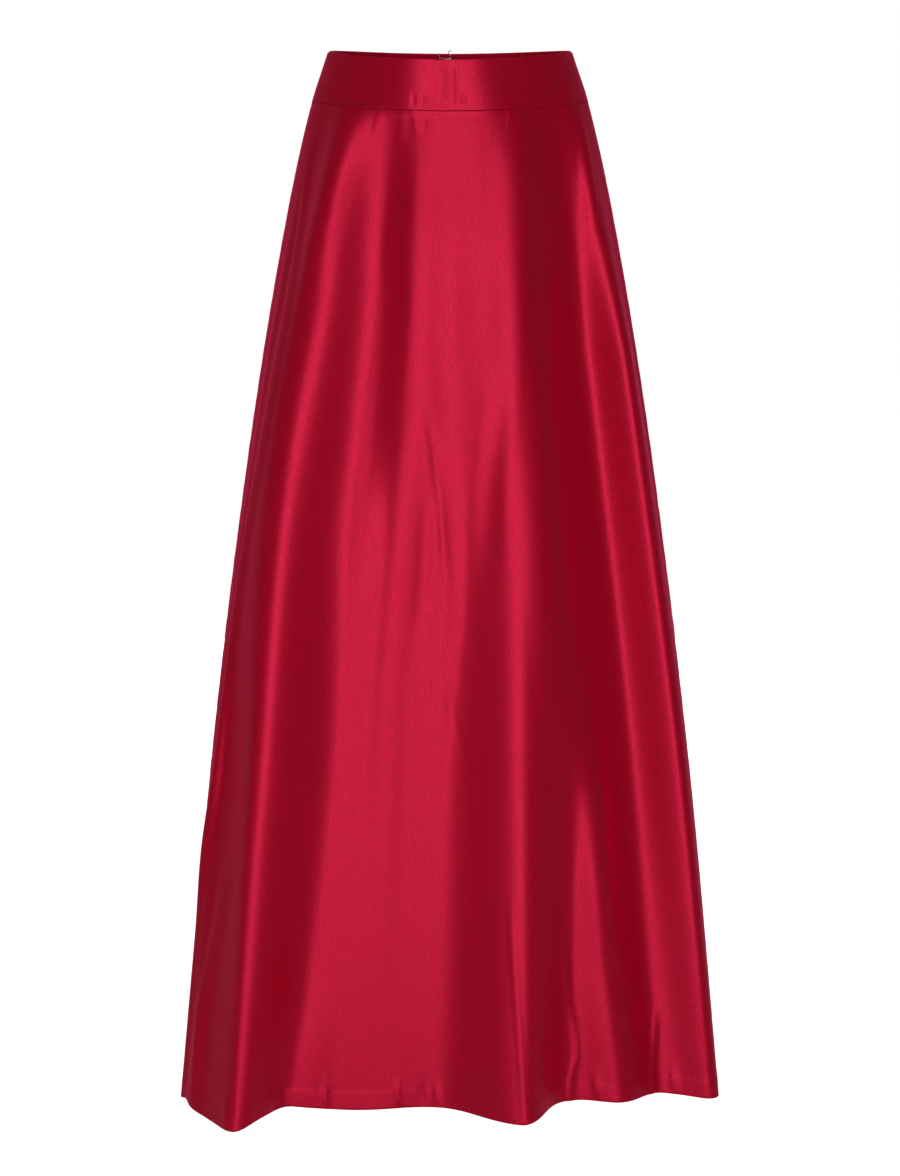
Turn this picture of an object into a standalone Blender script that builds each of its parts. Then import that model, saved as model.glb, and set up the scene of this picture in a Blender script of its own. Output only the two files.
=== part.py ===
"""Floor-length flared satin skirt with a shaped waistband, worn shape held hollow.

Frame: metres, +Z up. The origin is the centre of the waist opening, level with the top of the
waistband at the sides. The front faces -Y, and +X is the wearer's left.
"""
import math

import bmesh
import bpy
from mathutils import Matrix, Vector

# Main sizes, in metres
WAISTBAND_HEIGHT = 0.050
HEM_DROP = 1.095
HEM_TURN_UP = 0.020
BAND_WALL = 0.0024
PANEL_WALL = 0.0014
HEM_WALL = 0.0026
SEAM_GAP = 0.0005
TOP_DIP_CENTRE = 0.0058
TOP_DIP_SIDE = 0.0060
TOP_DIP_SIDE_SPAN = 7.0
DIP_FADE = 0.35

# Zip at the centre back
ZIP_TOP = 0.0120
ZIP_END = 0.235
TAPE_WIDTH = 0.0120
TAPE_WALL = 0.0007
STOP_DROP = 0.2300
SLIDER_DROP = 0.0185
SLIDER_GAP = 0.0022
SLIDER_GAP_SPAN = 0.0110
NECK_WIDTH = 0.0014
BRIDGE_RADIUS = 0.0015
BRIDGE_HOLE = 0.00085
PIN_RADIUS = 0.0005
PIN_STANDOFF = 0.0017
TAB_LENGTH = 0.0200
TAB_WIDTH = 0.0052
TAB_WALL = 0.0009

# Hook and eye inside the top of the waistband
WIRE_RADIUS = 0.0004
HOOK_DROP = 0.0052
EYE_CENTRE = -0.0093
HOOK_CENTRE = 0.0022

# How the cloth is divided; the strip beside each seam is in degrees
SEAM_STRIP = 1.2
FRONT_COLUMNS = 44
BACK_COLUMNS = 22
BAND_ROWS = (0.000, 0.025, 0.050)
BACK_BAND_ROWS = (0.000, 0.006, 0.0125, 0.0185, 0.0245, 0.033, 0.050)
PANEL_ROWS = (
    0.0503, 0.080, 0.112, 0.150, 0.190, 0.235, 0.285, 0.335, 0.390, 0.445, 0.500, 0.555,
    0.610, 0.665, 0.720, 0.775, 0.830, 0.885, 0.940, 0.990, 1.035,
    HEM_DROP - HEM_TURN_UP - 0.004, HEM_DROP - HEM_TURN_UP, HEM_DROP,
)

# Level sections of the skirt without its folds:
# drop below the top, half width, depth in front, depth behind, where the sides lie in y
SECTIONS = (
    (0.000, 0.1255, 0.086, 0.090, 0.000),
    (0.050, 0.1420, 0.098, 0.104, 0.000),
    (0.200, 0.1748, 0.116, 0.134, 0.000),
    (0.450, 0.2148, 0.120, 0.158, -0.015),
    (0.750, 0.2520, 0.120, 0.178, -0.040),
    (1.095, 0.2820, 0.114, 0.195, -0.070),
)

# Drops at which a fold's angle is given
FOLD_DROPS = (0.0, 0.4, 0.75, 1.095)

# Folds. Angles are in degrees round from the centre front, towards +X. Each has: name, angle at
# each of the fold drops, drop where it starts, drop where it is full, drop where it has died
# away, how it grows, widths left in even steps from start to full, widths right in even steps,
# height when full, way it stands out in degrees
FOLDS = (
    ("right front crest", (-44.5, -56.5, -51.0, -50.5), 0.045, 1.10, 9.0, 0.42,
     (0.030, 0.050), (0.056, 0.090, 0.088, 0.078, 0.054), 0.058, -4.0),
    ("flat beside the crest", (-50.0, -50.0, -50.0, -50.0), 0.10, 0.55, 9.0, 1.00,
     (0.080, 0.110), (0.160, 0.190), 0.015, -4.0),
    ("front shoulder", (24.0, 23.0, 20.5, 18.0), 0.00, 0.25, 9.0, 1.00,
     (0.070, 0.095), (0.036, 0.056), 0.013, 4.0),
    ("front crest", (22.0, 20.0, 15.8, 15.0), 0.28, 1.10, 9.0, 1.25,
     (0.052, 0.095), (0.060, 0.066, 0.048), 0.045, 4.0),
    ("lobe", (30.0, 28.5, 33.0, 38.5), 0.38, 1.00, 9.0, 0.85,
     (0.045, 0.044), (0.030, 0.060), 0.0125, 20.0),
    ("valley beside it", (47.0, 49.5, 52.5, 59.5), 0.02, 0.30, 9.0, 1.00,
     (0.040, 0.075), (0.036, 0.044), -0.024, 20.0),
    ("left flare fold", (58.5, 62.5, 66.5, 68.0), 0.04, 0.30, 9.0, 1.00,
     (0.030, 0.045), (0.030, 0.040), 0.020, 30.0),
    ("right side fold", (-68.0, -72.0, -75.5, -80.0), 0.08, 0.60, 9.0, 1.00,
     (0.012, 0.014), (0.036, 0.050), 0.013, -20.0),
    ("right hem fold", (-64.0, -66.0, -67.0, -68.0), 0.75, 1.10, 9.0, 1.00,
     (0.014, 0.018), (0.030, 0.045), 0.010, -30.0),
    ("back left crest", (128.0, 133.0, 134.5, 136.0), 0.15, 1.10, 9.0, 1.00,
     (0.045, 0.075), (0.040, 0.065), 0.038, 170.0),
    ("back inner left", (158.0, 162.0, 163.5, 165.0), 0.38, 1.10, 9.0, 1.00,
     (0.035, 0.050), (0.030, 0.050), 0.024, 180.0),
    ("back inner right", (-157.0, -155.0, -154.0, -153.0), 0.28, 1.10, 9.0, 1.00,
     (0.038, 0.065), (0.040, 0.060), 0.034, 185.0),
    ("back right crest", (-122.0, -121.0, -120.5, -120.0), 0.12, 1.10, 9.0, 1.00,
     (0.040, 0.060), (0.040, 0.060), 0.032, 200.0),
)

# How far the hem lies above level, in degrees round and metres
HEM_LEVEL = (
    (-180.0, 0.000), (-100.0, 0.002), (-76.0, 0.010), (-64.0, 0.001), (-52.0, -0.002),
    (-38.0, 0.009), (-20.0, 0.003), (0.0, 0.006), (14.0, 0.005), (23.0, 0.012),
    (45.0, 0.011), (70.0, 0.007), (100.0, 0.007), (140.0, 0.001), (180.0, 0.000),
)

# Colours as linear RGB
SATIN_RED = (0.352, 0.006, 0.030, 1.0)
TAPE_RED = (0.230, 0.006, 0.022, 1.0)
STEEL = (0.560, 0.550, 0.540, 1.0)

# Lengths round the plain sections, kept by their drop once worked out
LENGTHS = {}


def smooth_between(xs, ys, x):
    """Value at x of the smooth curve through the points, without overshoot between them."""
    last = len(xs) - 1
    steps = [xs[i + 1] - xs[i] for i in range(last)]
    slopes = [(ys[i + 1] - ys[i]) / steps[i] for i in range(last)]
    ends = [slopes[0]] + [0.0] * (last - 1) + [slopes[-1]]
    for i in range(1, last):
        if slopes[i - 1] * slopes[i] > 0.0:
            before = 2.0 * steps[i] + steps[i - 1]
            after = steps[i] + 2.0 * steps[i - 1]
            ends[i] = (before + after) / (before / slopes[i - 1] + after / slopes[i])
    i = 0
    while i < last - 1 and x > xs[i + 1]:
        i += 1
    t = (x - xs[i]) / steps[i]
    a = (2.0 * t ** 3 - 3.0 * t ** 2 + 1.0) * ys[i]
    b = (t ** 3 - 2.0 * t ** 2 + t) * steps[i] * ends[i]
    c = (-2.0 * t ** 3 + 3.0 * t ** 2) * ys[i + 1]
    d = (t ** 3 - t ** 2) * steps[i] * ends[i + 1]
    return a + b + c + d


def section_at(drop):
    """Half width, front depth, back depth and side line of the plain section at a drop."""
    drops = [row[0] for row in SECTIONS]
    return [smooth_between(drops, [row[k] for row in SECTIONS], drop) for k in range(1, 5)]


def clamp(value):
    """Value held between 0 and 1."""
    return max(0.0, min(1.0, value))


def wrapped(angle):
    """Angle in radians brought between minus pi and pi."""
    return (angle + math.pi) % (2.0 * math.pi) - math.pi


def hem_lift(degrees):
    """How far the hem stands above level at an angle."""
    return smooth_between([row[0] for row in HEM_LEVEL], [row[1] for row in HEM_LEVEL], degrees)


def plain_point(angle, section):
    """Point in x and y of the plain section at an angle, before its folds."""
    half, front, back, side = section
    c = math.cos(angle)
    depth = front + side if c > 0.0 else back - side
    return half * math.sin(angle), side - depth * c


def round_lengths(drop):
    """Length round the plain section from the centre back, at every half degree."""
    key = round(drop, 6)
    if key not in LENGTHS:
        section = section_at(drop)
        lengths = [0.0]
        last = plain_point(-math.pi, section)
        for i in range(1, 721):
            point = plain_point(math.radians(0.5 * i - 180.0), section)
            lengths.append(lengths[-1] + math.dist(point, last))
            last = point
        LENGTHS[key] = lengths
    return LENGTHS[key]


def length_at(lengths, angle):
    """Length round the section at an angle in radians."""
    place = (math.degrees(wrapped(angle)) + 180.0) * 2.0
    i = min(int(place), 719)
    return lengths[i] + (lengths[i + 1] - lengths[i]) * (place - i)


def fold_width(widths, grown):
    """Width where a fold has grown so far, from widths in even steps."""
    last = len(widths) - 1
    return smooth_between([i / last for i in range(last + 1)], widths, grown)


def cloth_point(angle, drop):
    """Point of the cloth's outer face at an angle in radians from the centre front."""
    x, y = plain_point(angle, section_at(drop))
    lengths = round_lengths(drop)
    here = length_at(lengths, angle)
    for row in FOLDS:
        name, angles, start, full, gone, growth, left, right, height, way = row
        if drop <= start or drop >= gone:
            continue
        centre = math.radians(smooth_between(FOLD_DROPS, angles, drop))
        grown = clamp((drop - start) / (full - start))
        along = here - length_at(lengths, centre)
        along -= round(along / lengths[-1]) * lengths[-1]
        width = fold_width(left if along < 0.0 else right, grown)
        if abs(along) >= width:
            continue
        out = height * grown ** growth * (0.5 + 0.5 * math.cos(math.pi * along / width))
        out *= clamp((gone - drop) / (gone - full))
        x += math.sin(math.radians(way)) * out
        y -= math.cos(math.radians(way)) * out
    degrees = math.degrees(wrapped(angle))
    away = (abs(abs(degrees) - 90.0) / TOP_DIP_SIDE_SPAN) ** 2
    dip = TOP_DIP_CENTRE * math.cos(angle) ** 2 + TOP_DIP_SIDE * math.exp(-away)
    dip *= clamp(1.0 - (drop - WAISTBAND_HEIGHT) / DIP_FADE)
    lift = hem_lift(degrees) * (drop / HEM_DROP) ** 5
    return Vector((x, y, -drop - dip + lift))


def column_angles(first, last, count):
    """Angles for the columns of a panel: a narrow one at each seam, and between them columns
    that lie closer together where the folds are steep.
    """
    fine = 400
    start = first + SEAM_STRIP
    end = last - SEAM_STRIP
    angles = [math.radians(start + (end - start) * i / fine) for i in range(fine + 1)]
    points = [cloth_point(angle, 0.95 * HEM_DROP) for angle in angles]
    run = [0.0]
    for i in range(fine):
        run.append(run[-1] + (points[i + 1] - points[i]).length)
    mixed = [0.5 * run[i] / run[-1] + 0.5 * i / fine for i in range(fine + 1)]
    chosen = [math.radians(first)]
    i = 0
    for k in range(count - 1):
        wanted = k / (count - 2)
        while i < fine - 1 and mixed[i + 1] < wanted:
            i += 1
        part = (wanted - mixed[i]) / (mixed[i + 1] - mixed[i])
        chosen.append(angles[i] + (angles[i + 1] - angles[i]) * clamp(part))
    chosen.append(math.radians(last))
    return chosen


def back_gap(drop):
    """Half the gap between the two backs, wider where the slider's neck passes."""
    near = abs(drop - SLIDER_DROP) / SLIDER_GAP_SPAN
    wide = 0.5 + 0.5 * math.cos(math.pi * min(near, 1.0))
    return 0.5 * (SEAM_GAP + (SLIDER_GAP - SEAM_GAP) * clamp(wide * 1.4))


def seam_shift(angle, drop):
    """Move at a panel's edge that keeps it half a gap short of the seam line."""
    degrees = math.degrees(angle)
    if abs(abs(degrees) - 180.0) < 0.01:
        return Vector((math.copysign(back_gap(drop), degrees), 0.0, 0.0))
    if abs(abs(degrees) - 90.0) < 0.01:
        return Vector((0.0, 0.5 * SEAM_GAP, 0.0))
    return Vector((0.0, 0.0, 0.0))


def new_material(name, colour, metallic, roughness):
    """Principled material with a colour, metallic value and roughness."""
    material = bpy.data.materials.new(name)
    material.use_nodes = True
    shader = material.node_tree.nodes["Principled BSDF"]
    shader.inputs["Base Color"].default_value = colour
    shader.inputs["Metallic"].default_value = metallic
    shader.inputs["Roughness"].default_value = roughness
    material.diffuse_color = colour
    return material


def keep(obj, collection, material):
    """Put an object in its collection with its material."""
    for other in list(obj.users_collection):
        other.objects.unlink(obj)
    collection.objects.link(obj)
    obj.data.materials.clear()
    obj.data.materials.append(material)
    return obj


def place_grid(name, columns, rows, place):
    """Grid whose vertices are moved to the points that place(column, row) gives."""
    bpy.ops.mesh.primitive_grid_add(x_subdivisions=columns, y_subdivisions=rows, size=2.0)
    obj = bpy.context.object
    obj.name = name
    obj.data.name = name
    row_numbers = []
    for vertex in obj.data.vertices:
        column = round((vertex.co.x + 1.0) * 0.5 * columns)
        row = round((1.0 - vertex.co.y) * 0.5 * rows)
        row_numbers.append(row)
        vertex.co = place(column, row)
    obj.data.shade_smooth()
    return obj, row_numbers


def add_wall(obj, wall):
    """Give an open sheet its wall on the inner side."""
    solid = obj.modifiers.new("wall", "SOLIDIFY")
    solid.thickness = wall
    solid.offset = -1.0
    solid.use_rim = True
    return solid


def cloth_sheet(name, first, last, columns, rows, collection, material, wall):
    """Panel of cloth between two angles, through the given drops, as one solid."""
    angles = column_angles(first, last, columns)
    towards_front = 1.0 if abs(first + last) > 1.0 else -1.0

    def place(column, row):
        point = cloth_point(angles[column], rows[row])
        if column in (0, columns):
            shift = seam_shift(angles[column], rows[row])
            shift.y *= towards_front
            point += shift
        return point

    obj, row_numbers = place_grid(name, columns, len(rows) - 1, place)
    keep(obj, collection, material)
    solid = add_wall(obj, wall)
    if rows[-1] == HEM_DROP:
        turned = obj.vertex_groups.new(name="turned up")
        inside = [i for i, row in enumerate(row_numbers) if row >= len(rows) - 2]
        turned.add(inside, 1.0, "REPLACE")
        solid.thickness = HEM_WALL
        solid.vertex_group = turned.name
        solid.thickness_vertex_group = wall / HEM_WALL
    return obj


def cloth_normal(angle, drop):
    """Outward direction of the cloth's outer face."""
    step = 0.001
    along = cloth_point(angle + step, drop) - cloth_point(angle - step, drop)
    up = cloth_point(angle, max(drop - step, 0.0)) - cloth_point(angle, drop + step)
    return along.cross(up).normalized()


def zip_tape(name, side, collection, material):
    """Tape of the zip inside one back edge, side +1 on the wearer's left and -1 on the right."""
    rows = [drop for drop in BACK_BAND_ROWS if drop > ZIP_TOP]
    rows += [0.058] + [drop for drop in PANEL_ROWS if 0.06 < drop < ZIP_END + 0.001]

    def place(column, row):
        drop = rows[row]
        wall = BAND_WALL if drop <= WAISTBAND_HEIGHT else PANEL_WALL
        edge = back_gap(drop) + 0.0002
        share = (2 - column) / 2.0 if side > 0 else column / 2.0
        across = edge + (TAPE_WIDTH - edge) * share
        angle = side * (math.pi - across / section_at(drop)[0])
        inward = cloth_normal(angle, drop) * (wall + SEAM_GAP)
        return cloth_point(angle, drop) - inward

    obj, row_numbers = place_grid(name, 2, len(rows) - 1, place)
    keep(obj, collection, material)
    add_wall(obj, TAPE_WALL)
    return obj


def back_frame(name, drop, collection):
    """Empty on the outer face at the centre back: its Y points out and its Z up the cloth."""
    out = cloth_normal(math.pi, drop)
    empty = bpy.data.objects.new(name, None)
    empty.empty_display_size = 0.01
    empty.location = cloth_point(math.pi, drop)
    empty.rotation_euler = (math.atan2(out.z, out.y), 0.0, 0.0)
    collection.objects.link(empty)
    return empty


def hang_on(obj, empty, location=(0.0, 0.0, 0.0)):
    """Parent an object to an empty at a place in its frame."""
    obj.parent = empty
    obj.location = location
    return obj


def box(name, size, centre, rounding=0.0):
    """Box with its own sizes in its mesh, its edges rounded by a Bevel."""
    bpy.ops.mesh.primitive_cube_add(size=1.0)
    obj = bpy.context.object
    obj.name = name
    obj.data.name = name
    obj.data.transform(Matrix.Diagonal((*size, 1.0)))
    obj.data.transform(Matrix.Translation(centre))
    if rounding > 0.0:
        bevel = obj.modifiers.new("rounding", "BEVEL")
        bevel.width = rounding
        bevel.segments = 2
    return obj


def rod(name, radius, length, centre, sides=20):
    """Cylinder along X about a centre."""
    bpy.ops.mesh.primitive_cylinder_add(vertices=sides, radius=radius, depth=length)
    obj = bpy.context.object
    obj.name = name
    obj.data.name = name
    obj.data.transform(Matrix.Rotation(math.radians(90.0), 4, "Y"))
    obj.data.transform(Matrix.Translation(centre))
    return obj


def combine(obj, other, operation, cutters, empty, location=(0.0, 0.0, 0.0)):
    """Join or cut an object with another, which is kept with the cutters."""
    for owner in list(other.users_collection):
        owner.objects.unlink(other)
    cutters.objects.link(other)
    other.hide_render = True
    other.display_type = "WIRE"
    hang_on(other, empty, location)
    step = obj.modifiers.new(operation.lower(), "BOOLEAN")
    step.operation = operation
    step.object = other
    step.solver = "EXACT"


def zip_slider(frame, collection, cutters, material):
    """Slider: its body inside, a neck through the seam and a bridge outside for the tab."""
    inner = -(BAND_WALL + SEAM_GAP + TAPE_WALL + 0.0003)
    body = box("zip_slider", (0.0058, 0.0026, 0.0090), (0.0, inner - 0.0013, 0.0), 0.0006)
    keep(body, collection, material)
    hang_on(body, frame)
    neck_length = PIN_STANDOFF - inner + 0.0004
    neck_centre = (0.0, inner - 0.0004 + 0.5 * neck_length, 0.0)
    neck = box("slider neck", (NECK_WIDTH, neck_length, 0.0020), neck_centre)
    bridge = rod("slider bridge", BRIDGE_RADIUS, NECK_WIDTH, (0.0, PIN_STANDOFF, 0.0), 24)
    hole = rod("bridge hole", BRIDGE_HOLE, 0.004, (0.0, PIN_STANDOFF, 0.0), 24)
    combine(body, neck, "UNION", cutters, frame)
    combine(body, bridge, "UNION", cutters, frame)
    combine(body, hole, "DIFFERENCE", cutters, frame)
    return body


def tab_outline():
    """Outline of the pull tab across and up from its pin, ears first, then round the end."""
    ear = 0.5 * TAB_WIDTH - 0.0003
    slot = 0.5 * NECK_WIDTH + 0.00035
    slot_end = -(BRIDGE_RADIUS + 0.0004)
    top = PIN_RADIUS + 0.0001
    round_centre = -(TAB_LENGTH - 0.5 * TAB_WIDTH)
    right = [(slot, slot_end), (slot, top), (ear, top), (ear, slot_end), (0.0016, slot_end - 0.003)]
    end = []
    for i in range(0, 13):
        turn = math.radians(15.0 - 210.0 * i / 12)
        end.append((0.5 * TAB_WIDTH * math.cos(turn), round_centre + 0.5 * TAB_WIDTH * math.sin(turn)))
    left = [(-x, z) for x, z in reversed(right)]
    return right + end + left


def zip_pull_tab(frame, collection, cutters, material):
    """Pull tab: a flat plate forked round the bridge, with a pin across the fork."""
    outline = bpy.data.curves.new("tab outline", "CURVE")
    outline.dimensions = "2D"
    outline.fill_mode = "BOTH"
    outline.extrude = 0.5 * TAB_WALL
    points = tab_outline()
    spline = outline.splines.new("POLY")
    spline.points.add(len(points) - 1)
    for point, (x, z) in zip(spline.points, points):
        point.co = (x, z, 0.0, 1.0)
    spline.use_cyclic_u = True
    flat = bpy.data.objects.new("tab outline", outline)
    collection.objects.link(flat)
    bpy.context.view_layer.update()
    mesh = bpy.data.meshes.new_from_object(flat.evaluated_get(bpy.context.evaluated_depsgraph_get()))
    bpy.data.objects.remove(flat)
    weld(mesh)
    mesh.transform(Matrix.Rotation(math.radians(90.0), 4, "X"))
    mesh.name = "zip_pull_tab"
    tab = bpy.data.objects.new("zip_pull_tab", mesh)
    keep(tab, collection, material)
    hang_on(tab, frame, (0.0, PIN_STANDOFF, 0.0))
    pin = rod("tab pin", PIN_RADIUS, TAB_WIDTH - 0.0014, (0.0, 0.0, 0.0), 16)
    combine(tab, pin, "UNION", cutters, frame, (0.0, PIN_STANDOFF, 0.0))
    return tab


def weld(mesh):
    """Merge the points that a curve's caps leave double."""
    work = bmesh.new()
    work.from_mesh(mesh)
    bmesh.ops.remove_doubles(work, verts=work.verts, dist=0.000001)
    bmesh.ops.recalc_face_normals(work, faces=work.faces)
    work.to_mesh(mesh)
    work.free()


def arc(centre, radius, first, last, steps):
    """Points of an arc in a plane, by its angles in degrees."""
    points = []
    for i in range(steps + 1):
        turn = math.radians(first + (last - first) * i / steps)
        points.append((centre[0] + radius * math.cos(turn), centre[1] + radius * math.sin(turn)))
    return points


def hook_path():
    """Hook's wire: ring, shank, bill bent back over the shank, and the same back again.

    Each point is across, up and away from the waistband, in metres.
    """
    ring = arc((HOOK_CENTRE, 0.00195), 0.00135, 190.0, -90.0, 14)
    upper = [(x, z, 0.0) for x, z in ring]
    bend = arc((-0.0056, 0.0011), 0.0011, -90.0, -270.0, 8)
    upper += [(x, 0.0006, w) for x, w in bend]
    nose = arc((-0.0030, 0.0), 0.0006, 90.0, -90.0, 6)
    lower = [(x, -z, w) for x, z, w in reversed(upper)]
    return upper + [(x, z, 0.0022) for x, z in nose] + lower


def eye_path():
    """Eye's wire: ring, a loop that stands up into the hook, and the other ring."""
    ring = arc((EYE_CENTRE - 0.0018, 0.0028), 0.0011, -10.0, 270.0, 14)
    upper = [(x, z, 0.0) for x, z in ring]
    upper += [(EYE_CENTRE - 0.0004, 0.0017, 0.0002), (EYE_CENTRE + 0.0010, 0.0017, 0.0009)]
    loop = arc((-0.0072, 0.0), 0.0017, 90.0, -90.0, 10)
    lower = [(x, -z, w) for x, z, w in reversed(upper)]
    return upper + [(x, z, 0.0011) for x, z in loop] + lower


def wire(name, path, frame, collection, material):
    """Bent wire lying inside the waistband, following its curve across the back."""
    half, front, back, side = section_at(HOOK_DROP)
    bend_radius = half * half / back
    curve = bpy.data.curves.new(name, "CURVE")
    curve.dimensions = "3D"
    curve.bevel_depth = WIRE_RADIUS
    curve.bevel_resolution = 1
    curve.use_fill_caps = True
    spline = curve.splines.new("POLY")
    spline.points.add(len(path) - 1)
    for point, (x, z, w) in zip(spline.points, path):
        face = -BAND_WALL - x * x / (2.0 * bend_radius)
        point.co = (x, face - 0.0003 - WIRE_RADIUS - w, z, 1.0)
    obj = bpy.data.objects.new(name, curve)
    collection.objects.link(obj)
    curve.materials.append(material)
    hang_on(obj, frame)
    return obj


def main():
    """Build the skirt, its zip and its hook and eye."""
    for obj in list(bpy.data.objects):
        bpy.data.objects.remove(obj, do_unlink=True)
    skirt = bpy.data.collections.new("maxi skirt")
    cutters = bpy.data.collections.new("cutters")
    bpy.context.scene.collection.children.link(skirt)
    bpy.context.scene.collection.children.link(cutters)

    satin = new_material("red satin", SATIN_RED, 0.0, 0.32)
    tape = new_material("red tape", TAPE_RED, 0.0, 0.85)
    steel = new_material("nickelled steel", STEEL, 1.0, 0.28)
    enamel = new_material("red enamel", TAPE_RED, 0.0, 0.35)

    cloth_sheet("waistband_front", -90.0, 90.0, FRONT_COLUMNS, BAND_ROWS, skirt, satin, BAND_WALL)
    cloth_sheet("waistband_back_left", 90.0, 180.0, BACK_COLUMNS, BACK_BAND_ROWS, skirt, satin, BAND_WALL)
    cloth_sheet("waistband_back_right", -180.0, -90.0, BACK_COLUMNS, BACK_BAND_ROWS, skirt, satin, BAND_WALL)
    cloth_sheet("skirt_front", -90.0, 90.0, FRONT_COLUMNS, PANEL_ROWS, skirt, satin, PANEL_WALL)
    cloth_sheet("skirt_back_left", 90.0, 180.0, BACK_COLUMNS, PANEL_ROWS, skirt, satin, PANEL_WALL)
    cloth_sheet("skirt_back_right", -180.0, -90.0, BACK_COLUMNS, PANEL_ROWS, skirt, satin, PANEL_WALL)

    zip_tape("zip_tape_left", 1, skirt, tape)
    zip_tape("zip_tape_right", -1, skirt, tape)
    slider_frame = back_frame("slider frame", SLIDER_DROP, skirt)
    zip_slider(slider_frame, skirt, cutters, enamel)
    zip_pull_tab(slider_frame, skirt, cutters, enamel)
    stop_frame = back_frame("stop frame", STOP_DROP, skirt)
    inner = PANEL_WALL + SEAM_GAP + TAPE_WALL + 0.0003
    stop = box("zip_bottom_stop", (0.0036, 0.0012, 0.0030), (0.0, -inner - 0.0006, 0.0), 0.0003)
    keep(stop, skirt, steel)
    hang_on(stop, stop_frame)

    hook_frame = back_frame("hook frame", HOOK_DROP, skirt)
    wire("hook", hook_path(), hook_frame, skirt, steel)
    wire("eye", eye_path(), hook_frame, skirt, steel)


main()
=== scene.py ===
"""Looks of a floor-length flared satin skirt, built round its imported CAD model.

Everything is in metres, in the CAD model's frame: the origin is the centre of the waist opening,
level with the top of the waistband at the sides, +Z is up and the front faces -Y. "Left" and
"right" are the wearer's, and +X is the wearer's left. An angle runs round the skirt from the
centre front towards +X, and a drop is how far a point lies below the top of the waistband.
"""
from __future__ import annotations

import logging
import math
from dataclasses import dataclass
from enum import Enum
from typing import Callable, Sequence

import bmesh
import bpy
import numpy as np
from mathutils import Matrix, Vector


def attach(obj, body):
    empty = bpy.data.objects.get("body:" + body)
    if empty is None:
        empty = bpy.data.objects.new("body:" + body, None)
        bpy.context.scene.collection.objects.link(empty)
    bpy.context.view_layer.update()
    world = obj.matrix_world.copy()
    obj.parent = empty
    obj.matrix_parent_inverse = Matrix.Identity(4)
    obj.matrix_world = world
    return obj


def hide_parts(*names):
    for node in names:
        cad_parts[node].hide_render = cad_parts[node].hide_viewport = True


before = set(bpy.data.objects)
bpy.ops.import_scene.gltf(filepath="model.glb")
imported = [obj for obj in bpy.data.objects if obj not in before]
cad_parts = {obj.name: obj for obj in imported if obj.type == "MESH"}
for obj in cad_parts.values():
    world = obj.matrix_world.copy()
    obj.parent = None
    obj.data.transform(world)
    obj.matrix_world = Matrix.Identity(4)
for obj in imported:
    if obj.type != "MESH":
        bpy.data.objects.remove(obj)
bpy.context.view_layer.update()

log = logging.getLogger("maxi_skirt")

Array = np.ndarray
Colour = tuple[float, float, float]
Point = tuple[float, float, float]

HEM = 1.095
BAND_HEIGHT = 0.050
FOLD_DROPS = (0.0, 0.4, 0.75, HEM)
SKIRT_BODY = "skirt"
CLOTH_MAP = "cloth"
SHARP_ANGLE = 50.0
ROUND_STEPS = 1440
SEAM_LINE = 0.0001
ROWS_BELOW_WAIST = (0.008, 0.011, 0.015, 0.020, 0.026, 0.033)
ROWS_AT_TURN_UP = (-0.0025, -0.0008, 0.0008, 0.0030, 0.0060, 0.0095, 0.013, 0.0165)
ROWS_INSIDE_HEM = (0.005, 0.010, 0.015)


class Side(Enum):
    """The wearer's side that a piece lies on, as the sign of its X."""

    LEFT = 1
    RIGHT = -1


def smooth_curve(xs: Sequence[float], ys: Sequence[float], x: Array | float) -> Array:
    """Smooth curve through points, without overshoot between them.

    Args:
        xs: where the points lie, rising.
        ys: their values.
        x: where the curve is wanted.

    Returns:
        The curve's values there.
    """
    px, py = np.asarray(xs, float), np.asarray(ys, float)
    step = np.diff(px)
    slope = np.diff(py) / step
    ends = np.zeros_like(py)
    ends[0], ends[-1] = slope[0], slope[-1]
    for i in range(1, len(px) - 1):
        if slope[i - 1] * slope[i] > 0.0:
            before = 2.0 * step[i] + step[i - 1]
            after = step[i] + 2.0 * step[i - 1]
            ends[i] = (before + after) / (before / slope[i - 1] + after / slope[i])
    i = np.clip(np.searchsorted(px, x) - 1, 0, len(px) - 2)
    t = (x - px[i]) / step[i]
    a = (2.0 * t**3 - 3.0 * t**2 + 1.0) * py[i]
    b = (t**3 - 2.0 * t**2 + t) * step[i] * ends[i]
    c = (-2.0 * t**3 + 3.0 * t**2) * py[i + 1]
    d = (t**3 - t**2) * step[i] * ends[i + 1]
    return a + b + c + d


def ease(value: Array) -> Array:
    """Value held between 0 and 1 and eased at both ends."""
    held = np.clip(value, 0.0, 1.0)
    return held * held * (3.0 - 2.0 * held)


@dataclass(frozen=True)
class Fold:
    """A deep fold that runs down the skirt, as the CAD model has it.

    Attributes:
        name: what it is.
        centre: its angle in degrees at each of the fold drops.
        start: the drop where it begins.
        full: the drop where it is full.
        gone: the drop where it has died away.
        growth: how it grows, 1 for evenly.
        left: its width on the side of smaller angles, in even steps from start to full.
        right: its width on the side of larger angles, in even steps from start to full.
        height: how far it stands out when full.
        way: which way it stands out, in degrees from straight forwards towards +X.
    """

    name: str
    centre: tuple[float, float, float, float]
    start: float
    full: float
    gone: float
    growth: float
    left: tuple[float, ...]
    right: tuple[float, ...]
    height: float
    way: float

    def width(self, steps: tuple[float, ...], grown: Array) -> Array:
        """Width where the fold has grown so far, from widths in even steps."""
        return smooth_curve(np.linspace(0.0, 1.0, len(steps)), steps, grown)


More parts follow.
